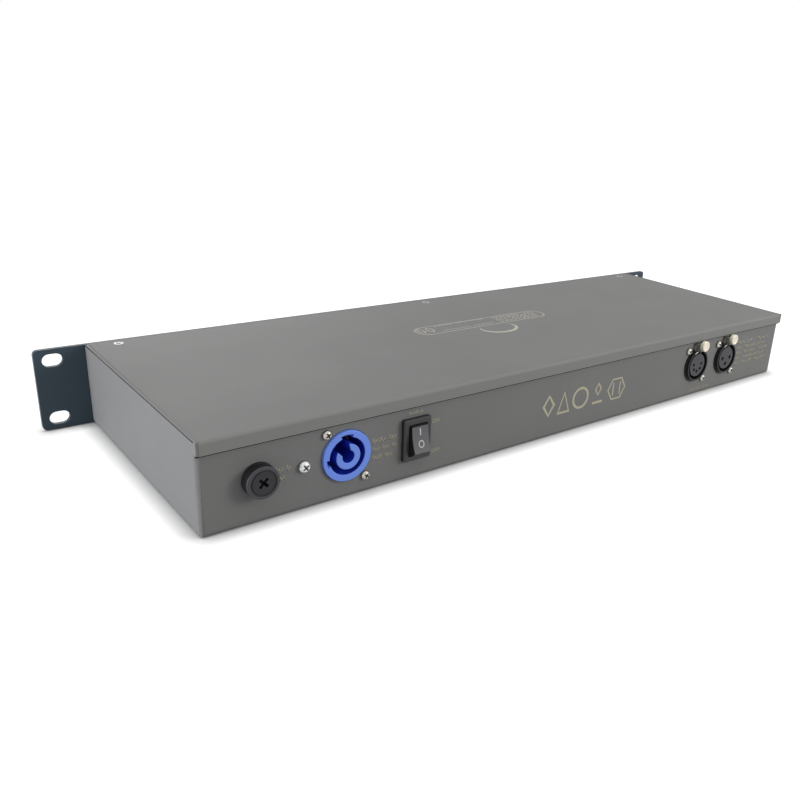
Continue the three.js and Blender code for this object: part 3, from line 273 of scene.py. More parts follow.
# Brass, darkened below its own tone partly as painted shade: its contacts sit deep in holes
SHADED_BRASS = surface("brass", (120, 98, 62), 0.5, 0.25, 0.008, 0.06, 0.5, 1)
CLEAR_GUIDE = surface("light_guide", (196, 214, 196), 0.25, 0.4, 0.005, 0.03, coat=0.4)
BOARD_GREEN = surface("solder_mask", (24, 92, 56), 0.35, 0.6, 0.01, 0.1, coat=0.3)
CORE_STEEL = surface("core_laminate", (112, 106, 100), 0.45, 0.5, 0.05, metallic=1, stretch=(20, 1, 20))
ALUMINIUM = surface("extruded_aluminium", (178, 180, 186), 0.35, 0.3, 0.01, metallic=1, stretch=(1, 1, 12))
BROWN_LEAD = surface("brown_insulation", (108, 60, 36), 0.5, 0.5, 0.01)
BLUE_LEAD = surface("blue_insulation", (44, 80, 170), 0.5, 0.5, 0.01)
EARTH_LEAD = surface("green_insulation", (126, 156, 44), 0.5, 0.5, 0.01)
GREY_TAPE = surface("ribbon_tape", (150, 150, 154), 0.55, 0.6, 0.04, stretch=(1, 40, 40))
INK = surface("pale_ink", (196, 189, 164), 0.7, 0.3, 0.01, 0.1, 0.2)
COVER_INK = surface("cover_ink", (194, 190, 178), 0.7, 0.3, 0.01, 0.1, 0.2)
FAINT_INK = surface("faint_ink", (178, 171, 148), 0.7, 0.3, 0.01, 0.1, 0.2)
WHITE_INK = surface("white_ink", (222, 222, 220), 0.6, 0.3, 0.01, 0.05, 0.2)


# Mesh helpers, in millimetres round a local z axis that points out of the wall
def stored(bm, name="shape"):
    mesh = bpy.data.meshes.new(name)
    bm.to_mesh(mesh)
    bm.free()
    return mesh


def mesh_of(bm):
    bmesh.ops.remove_doubles(bm, verts=bm.verts, dist=1e-5)
    bmesh.ops.recalc_face_normals(bm, faces=bm.faces)
    return stored(bm)


def curved(start, control, end, t):
    return start * (1 - t) ** 2 + control * (2 * t * (1 - t)) + end * t ** 2


def filleted(corners, steps):
    """Points of a path whose corners, [x, y, radius], are rounded off"""
    points = []
    for i, (x, y, radius) in enumerate(corners):
        here = Vector((x, y))
        if radius == 0 or i in (0, len(corners) - 1):
            points.append(here)
            continue
        before = Vector(corners[i - 1][:2]) - here
        after = Vector(corners[i + 1][:2]) - here
        reach = radius / math.tan(before.angle(after) / 2)
        reach = min(reach, before.length * LONGEST_FILLET, after.length * LONGEST_FILLET)
        start, end = here + before.normalized() * reach, here + after.normalized() * reach
        points += [curved(start, here, end, step / steps) for step in range(steps + 1)]
    return points


def polar(radius, angle):
    return (radius * math.cos(math.radians(angle)), radius * math.sin(math.radians(angle)))


def arc(radius, start, end, steps):
    return [polar(radius, start + (end - start) * i / steps) for i in range(steps + 1)]


def sector(inner, outer, start, end, steps=32, lag=0):
    """Part of a ring, whose inner arc starts and ends lag degrees inside the outer one"""
    return arc(outer, start, end, steps) + arc(inner, end - lag, start + lag, steps)


def oval(radius_x, radius_y, x=0, y=0, sides=RIM_SIDES, spin=0):
    turn = [math.radians(spin) + 2 * math.pi * i / sides for i in range(sides)]
    return [(x + radius_x * math.cos(a), y + radius_y * math.sin(a)) for a in turn]


def disc(radius, x=0, y=0, sides=RIM_SIDES):
    return oval(radius, radius, x, y, sides)


def rectangle(width, height, x=0, y=0):
    return [(x + a * width / 2, y + b * height / 2) for a, b in ((-1, -1), (1, -1), (1, 1), (-1, 1))]


def rounded_rectangle(width, height, radius, x=0, y=0, steps=8):
    points = []
    for turn, (a, b) in enumerate(((1, 1), (-1, 1), (-1, -1), (1, -1))):
        for step in range(steps + 1):
            angle = math.pi / 2 * (turn + step / steps)
            points.append((
                x + a * (width / 2 - radius) + radius * math.cos(angle),
                y + b * (height / 2 - radius) + radius * math.sin(angle),
            ))
    return points


def bridge(bm, first, second):
    """Faces between two closed rings of as many vertices"""
    for i in range(len(first)):
        j = (i + 1) % len(first)
        bm.faces.new([first[i], first[j], second[j], second[i]])


def turned(corners, sides=RIM_SIDES, steps=FILLET_STEPS):
    """A turned body from [radius, height, fillet] corners, closed towards the axis at both ends"""
    bm = bmesh.new()
    rings = []
    closed = [(0, corners[0][1], 0), *corners, (0, corners[-1][1], 0)]
    for radius, height in filleted(closed, steps):
        outline = [(0, 0)] if radius < SLIGHT / 2 else disc(radius, sides=sides)
        rings.append([bm.verts.new((x, y, height)) for x, y in outline])
    for lower, upper in zip(rings, rings[1:]):
        for i in range(sides):
            j = (i + 1) % sides
            ring = [side[k % len(side)] for side, k in ((lower, i), (lower, j), (upper, j), (upper, i))]
            used = list(dict.fromkeys(ring))
            if len(used) > 2:
                bm.faces.new(used)
    return mesh_of(bm)


def prism(points, low, high):
    bm = bmesh.new()
    bottom, top = ([bm.verts.new((x, y, level)) for x, y in points] for level in (low, high))
    bm.faces.new(list(reversed(bottom)))
    bm.faces.new(top)
    bridge(bm, bottom, top)
    return mesh_of(bm)


def combined(base, tools, operation):
    body = bpy.data.objects.new("body", base)
    SCENE.collection.objects.link(body)
    helpers = []
    for tool in tools:
        helper = bpy.data.objects.new("tool", tool)
        SCENE.collection.objects.link(helper)
        modifier = body.modifiers.new("boolean", "BOOLEAN")
        modifier.operation = operation
        modifier.solver = "EXACT"
        modifier.object = helper
        helpers.append(helper)
    graph = bpy.context.evaluated_depsgraph_get()
    result = bpy.data.meshes.new_from_object(body.evaluated_get(graph))
    for made in (*helpers, body):
        bpy.data.objects.remove(made)
    return result


def cut(base, *tools):
    return combined(base, tools, "DIFFERENCE")


def joined(base, *tools):
    return combined(base, tools, "UNION")


def merge_flat(bm):
    bmesh.ops.dissolve_limit(bm, angle_limit=FLAT, verts=bm.verts, edges=bm.edges)


def ease_edges(bm, width, segments, least, keep=None):
    """Rounds off, by width, the edges sharper than least degrees, where keep, if given, says yes"""
    sharp = [
        edge for edge in bm.edges
        if len(edge.link_faces) == 2
        and edge.calc_face_angle(0) > math.radians(least)
        and (keep is None or keep(edge))
    ]
    bmesh.ops.bevel(bm, geom=sharp, offset=width, segments=segments, profile=0.5, affect="EDGES",
                    clamp_overlap=True)


def softened(mesh, width, segments=2, least=30, above=None):
    """The mesh with its sharp edges rounded off by width, only those over a level if above is given"""
    bm = bmesh.new()
    bm.from_mesh(mesh)
    merge_flat(bm)
    keep = None if above is None else lambda edge: min(vert.co.z for vert in edge.verts) > above
    ease_edges(bm, width, segments, least, keep)
    return mesh_of(bm)


def moved(mesh, x=0, y=0, z=0, spin=0):
    copy = mesh.copy()
    copy.transform(Matrix.Translation((x, y, z)) @ Matrix.Rotation(math.radians(spin), 4, "Z"))
    return copy


def set_material(mesh, material):
    mesh.materials.clear()
    mesh.materials.append(material)


def add_piece(name, mesh, place, material, replaced=None, body="chassis", smooth=35):
    """Puts a mesh in the frame as a piece that rides on a body and may stand for a node"""
    mesh = mesh.copy()
    mesh.transform(place)
    mesh.name = name
    set_material(mesh, material)
    mesh.shade_smooth()
    mesh.set_sharp_from_angle(angle=math.radians(smooth))
    piece = bpy.data.objects.new(name, mesh)
    SCENE.collection.objects.link(piece)
    piece.modifiers.new("weights", "WEIGHTED_NORMAL").keep_sharp = True
    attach(piece, body)
    if replaced:
        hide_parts(replaced)
    return piece


def recolour(piece, place, material, chosen):
    """Another material for the faces that chosen says yes to, by their middle in the wall's axes"""
    piece.data.materials.append(material)
    to_wall = place.inverted()
    for face in piece.data.polygons:
        if chosen(to_wall @ face.center, face):
            face.material_index = len(piece.data.materials) - 1


def off_axis(at, x=0, y=0):
    return math.hypot(at.x - x, at.y - y)


# Places on the walls
def wall_place(right, out, origin):
    """A matrix from a wall's own millimetres to the frame's metres"""
    basis = Matrix((right, UP, out)).transposed().to_4x4()
    return Matrix.Translation(origin) @ basis @ Matrix.Scale(MM, 4)


def middle(node):
    low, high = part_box(node)
    return (low + high) / 2


panel_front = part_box("front_panel")[0].y
rear_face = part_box("link5_socket")[1].y - SOCKET.ring_proud * MM
row_z = middle("fuse_cap").z


def rear_place(x, z=row_z):
    return wall_place(Vector((-1, 0, 0)), Vector((0, 1, 0)), Vector((x, rear_face, z)))


def front_place(x, z=row_z):
    return wall_place(Vector((1, 0, 0)), Vector((0, -1, 0)), Vector((x, panel_front, z)))


rear_wall = rear_place(0, 0)
front_wall = front_place(0, 0)
cover_top = Matrix.Translation((0, panel_rear, cad_bounds[1].z - INK_DEPTH * MM)) @ Matrix.Scale(MM, 4)


# Sheet metal keeps its form, with folded edges eased
def dress_sheet(node, name, material, width, sink_top=0, lip_reach=0):
    """Stands for a sheet metal node, with its top lowered and its lip's ends drawn out if asked"""
    bm = bmesh.new()
    bm.from_mesh(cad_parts[node].data)
    bmesh.ops.remove_doubles(bm, verts=bm.verts, dist=1e-6)
    merge_flat(bm)
    side, back, top = (max(vert.co[axis] for vert in bm.verts) for axis in range(3))
    for vert in bm.verts:
        if vert.co.z > top - SLIGHT * MM:
            vert.co.z -= sink_top * MM
        if abs(vert.co.x) > side - SLIGHT * MM and vert.co.y > back - 2 * SHEET * MM:
            vert.co.x += math.copysign(lip_reach * MM, vert.co.x)
    ease_edges(bm, width * MM, 2, FOLD)
    add_piece(name, stored(bm), Matrix.Identity(4), material, node)


dress_sheet("chassis_tray", "tray_shell", GREY_PAINT, 0.25)
dress_sheet("top_cover", "cover_shell", COVER_PAINT, 0.2, INK_DEPTH, LIP_REACH)
dress_sheet("front_panel", "panel_plate", SLATE_PAINT, 0.3)


# Nodes that keep their solids
def finish_node(node, material):
    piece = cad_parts[node]
    set_material(piece.data, material)
    return piece


PLAIN_NODES = (
    (BLACK_PLASTIC, "black_plastic", "fuse_holder_nut", "reservoir_capacitor"),
    (SHADED_BRASS, "brass", "ground_nut"),
    (BOARD_GREEN, "circuit_board", "driver_board", "power_board"),
    (CORE_STEEL, "core_steel", "transformer"),
    (ALUMINIUM, "aluminium", "regulator_heatsink"),
    (BROWN_LEAD, "brown_lead", "mains_lead_live", "mains_lead_switched"),
    (BLUE_LEAD, "blue_lead", "mains_lead_neutral"),
    (EARTH_LEAD, "earth_lead", "earth_lead"),
    (GREY_TAPE, "ribbon", "link_ribbon"),
    (NICKEL, "nickel", "fuse_link"),
)
for material, slot, *nodes in PLAIN_NODES:
    for node in nodes:
        piece = finish_node(node, material)
        piece.modifiers.new("weld", "WELD").merge_threshold = SLIGHT * MM
        eased = piece.modifiers.new("eased", "BEVEL")
        eased.width = SOLID_EASE * MM
        eased.segments = 2
        eased.limit_method = "ANGLE"
        eased.angle_limit = math.radians(FOLD)
        piece.modifiers.new("weights", "WEIGHTED_NORMAL")


# Screws
CROSS_SPINS = (20, 110)
CROSS_FOOT = 0.45  # how long the arms are at the recess's foot, as a share of their length at its mouth
CROSS_SHADE = 0.64  # how far out the recess's faces lie at most, as a share of the head's radius


def with_cross(body, head, top):
    """The screw with a cross recess in its head, whose arms narrow towards their foot"""
    arms = []
    for spin in CROSS_SPINS:
        bm = bmesh.new()
        rings = []
        for share, z in ((1, top + OVERRUN), (1, top), (CROSS_FOOT, top - head.cross.depth)):
            length, width = head.radius * head.cross.reach * 2 * share, head.cross.width * (1 + share) / 2
            rings.append([bm.verts.new((x, y, z)) for x, y in rectangle(length, width)])
        bm.faces.new(rings[0])
        bm.faces.new(list(reversed(rings[-1])))
        for upper, lower in zip(rings, rings[1:]):
            bridge(bm, upper, lower)
        arms.append(moved(mesh_of(bm), spin=spin))
    return cut(body, *arms)


def pan_screw(head, length):
    body = turned([
        (head.shank, -length, 0.3),
        (head.shank, 0, 0),
        (head.radius, 0, 0.15),
        (head.radius, head.height * 0.45, head.radius * 0.35),
        (head.radius * head.cross.reach, head.height, head.radius * 0.5),
    ], SCREW_SIDES, 6)
    return with_cross(body, head, head.height)


def flat_screw(head, length):
    body = turned([
        (head.shank, -length, 0.3),
        (head.shank, -head.height, 0.2),
        (head.radius, -0.15, 0.12),
        (head.radius - 0.12, 0, 0.1),
    ], SCREW_SIDES, 3)
    return with_cross(body, head, 0)


def add_screw(name, mesh, place, metal, head, foot, replaced=None, x=0, y=0):
    """A screw whose cross recess is dark, from the head's foot up to near its top"""
    piece = add_piece(name, mesh, place, metal, replaced)
    brim = foot + head.height - head.cross.brim
    recolour(piece, place, RECESS_SHADE, lambda at, face: (
        off_axis(at, x, y) < head.radius * CROSS_SHADE and foot < at.z < brim))


rear_screw = pan_screw(PAN_HEAD, length=7)
earth_screw = pan_screw(EARTH_HEAD, length=9)
front_screw = pan_screw(PAN_HEAD, length=0.2)
cover_screw = flat_screw(FLAT_HEAD, length=5)
panel_screw = flat_screw(FLAT_HEAD, length=7)

for which in ("left", "middle", "right"):
    node = f"cover_screw_{which}"
    centre = middle(node)
    place = Matrix.Translation((centre.x, centre.y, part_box(node)[1].z)) @ Matrix.Scale(MM, 4)
    add_screw(f"cover_screw_dressed_{which}", cover_screw, place, DULL_STEEL, FLAT_HEAD,
              -FLAT_HEAD.height, node)

for number in range(1, 5):
    node = f"panel_screw_{number}"
    centre = middle(node)
    add_screw(f"panel_screw_dressed_{number}", panel_screw, front_place(centre.x, centre.z), NICKEL,
              FLAT_HEAD, -FLAT_HEAD.height, node)

REAR_SCREW_SPINS = {
    "inlet_screw_upper": 10, "inlet_screw_lower": 35, "link5_screw_upper": 70, "link5_screw_lower": 0,
    "link3_screw_upper": 50, "link3_screw_lower": 25, "ground_screw": 15,
}
for node, spin in REAR_SCREW_SPINS.items():
    centre = middle(node)
    mesh, metal, head = rear_screw, NICKEL, PAN_HEAD
    if node == "ground_screw":
        mesh, metal, head = earth_screw, ZINC, EARTH_HEAD
    screw = moved(mesh, z=SEAT, spin=spin)
    add_screw(f"{node}_dressed", screw, rear_place(centre.x, centre.z), metal, head, SEAT, node)


# Fuse holder and its cap
def fuse_holder():
    body = turned([
        (FUSE.barrel, -FUSE.length, 0.4),
        (FUSE.barrel, SEAT, 0),
        (FUSE.flange, SEAT, 0.15),
        (FUSE.flange, FUSE.flange_top, 0.35),
        (FUSE.bore, FUSE.flange_top, 0.2),
        (FUSE.bore, -FUSE.bore_depth, 0),
    ])
    tabs = [
        prism(rectangle(FUSE.tab_width, TAB_THICKNESS, 0, y), -FUSE.tab_end, -FUSE.length + LAP)
        for y in (FUSE.tab_y, -FUSE.tab_y)
    ]
    return joined(body, *tabs)


def fuse_cap():
    groove_outer = FUSE.groove + FUSE.groove_width / 2
    groove_inner = FUSE.groove - FUSE.groove_width / 2
    top = FUSE.cap_top
    face = top - FUSE.face_drop
    body = turned([
        (FUSE.sleeve_inner, SEAT + LAP, 0),
        (FUSE.sleeve_inner, -FUSE.sleeve_length, 0.2),
        (FUSE.sleeve_outer, -FUSE.sleeve_length, 0.3),
        (FUSE.sleeve_outer, FUSE.cap_back, 0),
        (FUSE.cap, FUSE.cap_back, 0.3),
        (FUSE.cap, top, 0.7),
        (groove_outer + FUSE.groove_slope, top, 0.15),
        (groove_outer, top - FUSE.groove_depth, 0.1),
        (groove_inner, top - FUSE.groove_depth, 0.1),
        (groove_inner - FUSE.groove_slope, face, 0.15),
    ])
    arm = rounded_rectangle(FUSE.slot_length, FUSE.slot_width, FUSE.slot_corner)
    arm = prism(arm, top - FUSE.slot_depth, top + OVERRUN)
    return cut(body, moved(arm, spin=45), moved(arm, spin=135))


fuse_place = rear_place(middle("fuse_cap").x)
add_piece("fuse_holder_dressed", fuse_holder(), fuse_place, BLACK_PLASTIC, "fuse_holder")
cap = add_piece("fuse_cap_dressed", fuse_cap(), fuse_place, BLACK_PLASTIC, "fuse_cap",
                "fuse_cap_body")
face_level = FUSE.cap_top - FUSE.rim_depth
rim_inner = FUSE.groove + FUSE.groove_width
slot_zone = FUSE.slot_length * 0.6
# Painted light on the cap: its face and rim greyer than the black sides as if lit; its cross slot near
# black as painted shade
recolour(cap, fuse_place, CAP_FACE_LIT, lambda at, face: at.z > face_level and off_axis(at) <= rim_inner)
recolour(cap, fuse_place, CAP_RIM_LIT, lambda at, face: at.z > face_level and off_axis(at) > rim_inner)
recolour(cap, fuse_place, SHADE_BLACK, lambda at, face: (
    face_level - FUSE.slot_depth < at.z <= face_level and off_axis(at) < slot_zone))


# Mains inlet
def mounting_plate(fitting, wall, screws=True):
    """The flange behind the wall, with the fitting's bore and its two screw holes"""
    front = -wall - SEAT
    back = front - PLATE.thickness
    reach = (back - OVERRUN, front + OVERRUN)
    plate = prism(rounded_rectangle(PLATE.width, PLATE.height, PLATE.corner), back, front)
    holes = [prism(disc(fitting.bore + LAP), *reach)]
    if screws:
        for side in (-1, 1):
            hole = disc(PAN_HEAD.shank + SEAT, side * fitting.screw_x, -side * fitting.screw_z, PIN_SIDES)
            holes.append(prism(hole, *reach))
    return cut(plate, *holes)


def inlet():
    body = turned([
        (INLET.radius, -INLET.length, 0.5),
        (INLET.radius, INLET.proud, 0.45),
        (INLET.bore, INLET.proud, 0.35),
        (INLET.bore, -INLET.cavity, 0.3),
    ])
    core = sector(INLET.core_inner, INLET.core_outer, INLET.core_start, INLET.core_end,
                  lag=INLET.core_lag)
    core = softened(prism(core, -INLET.cavity - LAP, INLET.core_proud), 0.3, 3, 40, above=-INLET.cavity)
    body = joined(body, core, mounting_plate(INLET, SHEET))
    notches = [
        prism(sector(INLET.bore - INLET.notch_inset, INLET.bore + INLET.notch, start, end, 8),
              INLET.proud - INLET.notch_depth, INLET.proud + OVERRUN)
        for start, end in NOTCH_ARCS
    ]
    return cut(body, *notches)


inlet_place = rear_place(middle("power_inlet").x)
inlet_body = add_piece("power_inlet_dressed", inlet(), inlet_place, BLUE_PLASTIC,
                       "power_inlet")
# The bore's walls and floor and the core's sides below the face are painted a darker blue as shade
recolour(inlet_body, inlet_place, BLUE_IN_SHADE, lambda at, face: (
    off_axis(at) < INLET.bore + SLIGHT and at.z < INLET.proud / 2))
contact = rounded_rectangle(INLET.contact_width, INLET.contact_thickness, 0.2)
contact = softened(prism(contact, -INLET.cavity, INLET.contact_top), 0.12)
for number, angle in enumerate(CONTACT_ANGLES, 1):
    centre = polar((INLET.core_outer + INLET.bore) / 2, angle)
    strip = moved(contact, *centre, spin=angle + 90)
    add_piece(f"inlet_contact_{number}", strip, inlet_place, SHADED_BRASS)

# Rocker switch. The rocker is drawn level and tilted last.
ROCKER_WIDE = SWITCH.open_width / 2 - SEAT
ROCKER_REACH = SWITCH.open_height / 2 - SEAT
FACE_ANGLE = math.asin((SWITCH.face_end - SWITCH.pivot_rise) / ROCKER_REACH)
SKIRT_STEPS = 12
FACE_STEPS = 20
AT_PIVOT = Matrix.Translation((0, 0, SWITCH.pivot_rise))
# Turns an outline drawn as (up, out) with its depth across into the wall's axes
ACROSS = Matrix(((0, 0, 1, 0), (1, 0, 0, 0), (0, 1, 0, 0), (0, 0, 0, 1)))


def pivot_pin(radius, reach):
    pin = turned([(radius, -reach, 0), (radius, reach, 0)], PIN_SIDES)
    pin.transform(AT_PIVOT @ Matrix.Rotation(math.pi / 2, 4, "Y"))
    return pin


def switch_housing():
    top = SWITCH.proud
    bezel = prism(rounded_rectangle(SWITCH.bezel_width, SWITCH.bezel_height, SWITCH.corner), SEAT, top)
    bezel = softened(bezel, SWITCH.bevel, 1, 60, above=top - SLIGHT)
    body = prism(rectangle(SWITCH.body_width, SWITCH.body_height), -SWITCH.depth, SEAT + LAP)
    opening = prism(rounded_rectangle(SWITCH.open_width, SWITCH.open_height, SWITCH.open_corner),
                    -SWITCH.open_depth, top + OVERRUN)
    pivot = pivot_pin(SWITCH.pin + SEAT, ROCKER_WIDE + SWITCH.pin_proud + SEAT)
    off = SWITCH.tab_off
    tabs = [
        prism(rectangle(SWITCH.tab_width, TAB_THICKNESS, x, y), -SWITCH.tab_end, -SWITCH.depth + LAP)
        for x in (-off, off) for y in (-off, off)
    ]
    return joined(cut(joined(bezel, body), opening, pivot), *tabs)


def rocker_outline():
    """The level rocker from the side: local x up the wall, local y out of it"""
    foot = -math.radians(SWITCH.skirt)
    turn = [foot + (FACE_ANGLE - foot) * i / SKIRT_STEPS for i in range(SKIRT_STEPS + 1)]
    side = [(ROCKER_REACH * math.cos(a), ROCKER_REACH * math.sin(a) + SWITCH.pivot_rise) for a in turn]
    start = Vector((ROCKER_REACH * math.cos(FACE_ANGLE), SWITCH.face_end))
    end = Vector((-start.x, start.y))
    control = Vector((0, SWITCH.face_middle * 2 - SWITCH.face_end))
    face = [tuple(curved(start, control, end, i / FACE_STEPS)) for i in range(1, FACE_STEPS)]
    other_side = [(-x, y) for x, y in reversed(side)]
    root = [(side * SWITCH.root_width / 2, -SWITCH.root_depth) for side in (-1, 1)]
    return side + face + other_side + root


def tilted(mesh):
    turn = Matrix.Rotation(-math.radians(SWITCH.tilt), 4, "X")
    mesh.transform(AT_PIVOT @ turn @ AT_PIVOT.inverted())
    return mesh


def rocker():
    key = prism(rocker_outline(), -ROCKER_WIDE, ROCKER_WIDE)
    key.transform(ACROSS)
    for vert in key.vertices:
        over = max(0, vert.co.z - SWITCH.draft_from)
        vert.co.x *= 1 - SWITCH.draft * over / ROCKER_WIDE
    key = softened(key, 0.3, 3, 50, above=-1)
    return tilted(joined(key, pivot_pin(SWITCH.pin, ROCKER_WIDE + SWITCH.pin_proud)))


def on_rocker(mark):
    """A mark drawn from level 0 to 1, laid on the rocker's curved face"""
    for vert in mark.vertices:
        share = vert.co.y / (ROCKER_REACH * math.cos(FACE_ANGLE))
        level = SWITCH.face_middle + (SWITCH.face_end - SWITCH.face_middle) * share ** 2
        vert.co.z = level + (vert.co.z - 0.5) * ROCKER_INK
    return tilted(mark)


def off_mark(sides=40):
    """An oval ring all in quads, so that it can bend"""
    bm = bmesh.new()
    outer_low, inner_low, outer_high, inner_high = (
        [bm.verts.new((x, y, level)) for x, y in
         oval(OFF_MARK.radius_x - inset, OFF_MARK.radius_y - inset, 0, OFF_MARK.y, sides)]
        for level in (0, 1) for inset in (0, OFF_MARK.width)
    )
    bridge(bm, outer_low, inner_low)
    bridge(bm, outer_high, inner_high)
    bridge(bm, outer_low, outer_high)
    bridge(bm, inner_low, inner_high)
    return mesh_of(bm)


switch_place = rear_place(middle("switch_housing").x)
add_piece("switch_housing_dressed", switch_housing(), switch_place, BEZEL_PLASTIC,
          "switch_housing")
rocker_key = add_piece("switch_rocker_dressed", rocker(), switch_place, BLACK_PLASTIC,
                       "switch_rocker", "rocker")
recolour(rocker_key, switch_place, ROCKER_FACE, lambda at, face: face.normal.y > 0.6 and at.z > 0)
on_mark = prism(rectangle(ON_MARK.width, ON_MARK.height, 0, ON_MARK.y), 0, 1)
add_piece("switch_mark_on", on_rocker(on_mark), switch_place, WHITE_INK, body="rocker")
add_piece("switch_mark_off", on_rocker(off_mark()), switch_place, WHITE_INK, body="rocker")


# Signal sockets
def hole_radius(angles):
    return SOCKET.small_hole if len(angles) > len(THREE_HOLES) else SOCKET.hole


def hole_tools(angles):
    low, high = SOCKET.insert_face - SOCKET.hole_depth, SOCKET.insert_face + OVERRUN
    return [
        prism(disc(hole_radius(angles), *polar(SOCKET.circle, angle), PIN_SIDES), low, high)
        for angle in angles
    ]


def socket_shell(bore_corners, wall, screws=False, latch=True):
    """A socket's shell with its flange, and its latch housing with the stem's slot"""
    body = turned([
        (SOCKET.base, -SOCKET.length, 0.4),
        (SOCKET.base, SOCKET.base_proud, 0.3),
        (SOCKET.ring, SOCKET.base_proud, 0.1),
        (SOCKET.ring, SOCKET.ring_proud, 0.4),
        (SOCKET.bore, SOCKET.ring_proud, 0.4),
        *bore_corners,
    ])
    body = joined(body, mounting_plate(SOCKET, wall, screws))
    if not latch:
        return body
    foot = SOCKET.ring - LAP
    hump = rounded_rectangle(SOCKET.hump_width, (SOCKET.hump_top - foot) * 2, SOCKET.hump_corner, 0, foot)
    hump = prism(hump, -wall - SEAT - LAP, SOCKET.hump_proud)
    hump = softened(hump, 0.35, 3, 60, above=SOCKET.hump_proud - SLIGHT)
    slot_from, slot_to = SOCKET.insert + SEAT, LATCH.stem_to + SEAT
    slot = rectangle(LATCH.stem_width + 2 * SEAT, slot_to - slot_from, 0, (slot_to + slot_from) / 2)
    slot = prism(slot, -LATCH.stem_depth - LATCH.travel - SEAT, SOCKET.ring_proud + OVERRUN)
    return cut(joined(body, hump), slot)


def socket_insert(angles):
    back = SEAT - SOCKET.cavity
    foot = back + SOCKET.insert_foot
    body = turned([
        (SOCKET.bore - SEAT, back, 0.2),
        (SOCKET.bore - SEAT, foot, 0.2),
        (SOCKET.insert, foot, 0),
        (SOCKET.insert, SOCKET.insert_face, 0.35),
    ])
    return cut(body, *hole_tools(angles))


def contact_sleeve(angles):
    """A contact tube that lines the lower part of a hole"""
    outer = hole_radius(angles) - SLEEVE.gap
    inner = outer - SLEEVE.wall
    foot = SOCKET.insert_face - SOCKET.hole_depth + SLEEVE.foot
    lip = SOCKET.insert_face - SLEEVE.lip
    return turned([
        (outer, foot, 0),
        (outer, lip, 0.08),
        (inner, lip, 0.08),
        (inner, foot + SLEEVE.floor, 0),
    ], PIN_SIDES, 2)


def latch_button():
    back = LATCH.proud - LATCH.thickness
    dish = LATCH.proud - LATCH.dish
    rim = LATCH.radius - LATCH.rim
    button = turned([
        (LATCH.radius, back, 0.4),
        (LATCH.radius, LATCH.proud, 0.7),
        (rim, LATCH.proud, 0.4),
        (rim - LATCH.dish_run, dish, 0.4),
    ], 64)
    return moved(button, y=LATCH.rise)


def latch_stem():
    up = LATCH.stem_to - LATCH.stem_from
    top = LATCH.proud - LATCH.thickness - 2 * SLIGHT
    stem = prism(rectangle(LATCH.stem_width, up, 0, LATCH.stem_from + up / 2), -LATCH.stem_depth, top)
    return softened(stem, 0.25, 2, 60)


def latch_spring():
    """A thin bright strip on the ring's edge beside the stem: a painted highlight of the ring's edge"""
    inner, outer = SOCKET.bore + EDGE_GLINT.inner_gap, SOCKET.ring - EDGE_GLINT.outer_gap
    strip = prism(sector(inner, outer, EDGE_GLINT.start, EDGE_GLINT.end, 8), SOCKET.ring_proud - EDGE_GLINT.sunk,
                  SOCKET.ring_proud + EDGE_GLINT.proud)
    return softened(strip, 0.1, 2, 50)


button_mesh = latch_button()
stem_mesh = latch_stem()
edge_glint_mesh = latch_spring()


def add_shell(name, mesh, place, node):
    """A shell whose latch housing, over the ring, is a shade lighter than the ring"""
    shell = add_piece(name, mesh, place, BLACK_SHELL, node)
    recolour(shell, place, HOUSING_GREY, lambda at, face: at.y > SOCKET.ring + 0.2)


def add_latch(name, place, body, node):
    add_piece(f"{name}_button", button_mesh, place, LATCH_METAL, node, body, smooth=60)
    add_piece(f"{name}_stem", stem_mesh, place, HOUSING_GREY, body=body)
    # A bright strip that stands as a painted highlight on the ring's edge
    add_piece(f"{name}_edge_glint", edge_glint_mesh, place, NICKEL)


def add_contacts(name, mesh, angles, place, material):
    for number, angle in enumerate(angles, 1):
        contact = moved(mesh, *polar(SOCKET.circle, angle))
        add_piece(f"{name}_{number}", contact, place, material)


link_shell = socket_shell([(SOCKET.bore, -SOCKET.cavity, 0)], SHEET, screws=True)
for name, angles in (("link5", FIVE_HOLES), ("link3", THREE_HOLES)):
    place = rear_place(middle(f"{name}_insert").x)
    add_shell(f"{name}_shell", link_shell, place, f"{name}_socket")
    add_piece(f"{name}_face", socket_insert(angles), place, GREY_PLASTIC, f"{name}_insert")
    add_latch(name, place, f"{name}_latch_body", f"{name}_latch")
    add_contacts(f"{name}_contact", contact_sleeve(angles), angles, place, SHADED_BRASS)

filled_bore = [
    (SOCKET.bore, -SOCKET.groove, 0),
    (SOCKET.insert, -SOCKET.groove, 0),
    (SOCKET.insert, SOCKET.insert_face, 0.35),
]
output_shell = cut(socket_shell(filled_bore, PANEL), *hole_tools(THREE_HOLES))
output_sleeve = contact_sleeve(THREE_HOLES)
outputs = [middle(f"output_socket_{number}").x for number in range(1, 9)]
for number, x in enumerate(outputs, 1):
    place = front_place(x)
    add_shell(f"output_shell_{number}", output_shell, place, f"output_socket_{number}")
    add_latch(f"output_{number}", place, f"output_latch_{number}_body", f"output_latch_{number}")
    add_contacts(f"output_{number}_contact", output_sleeve, THREE_HOLES, place, SHADED_BRASS)

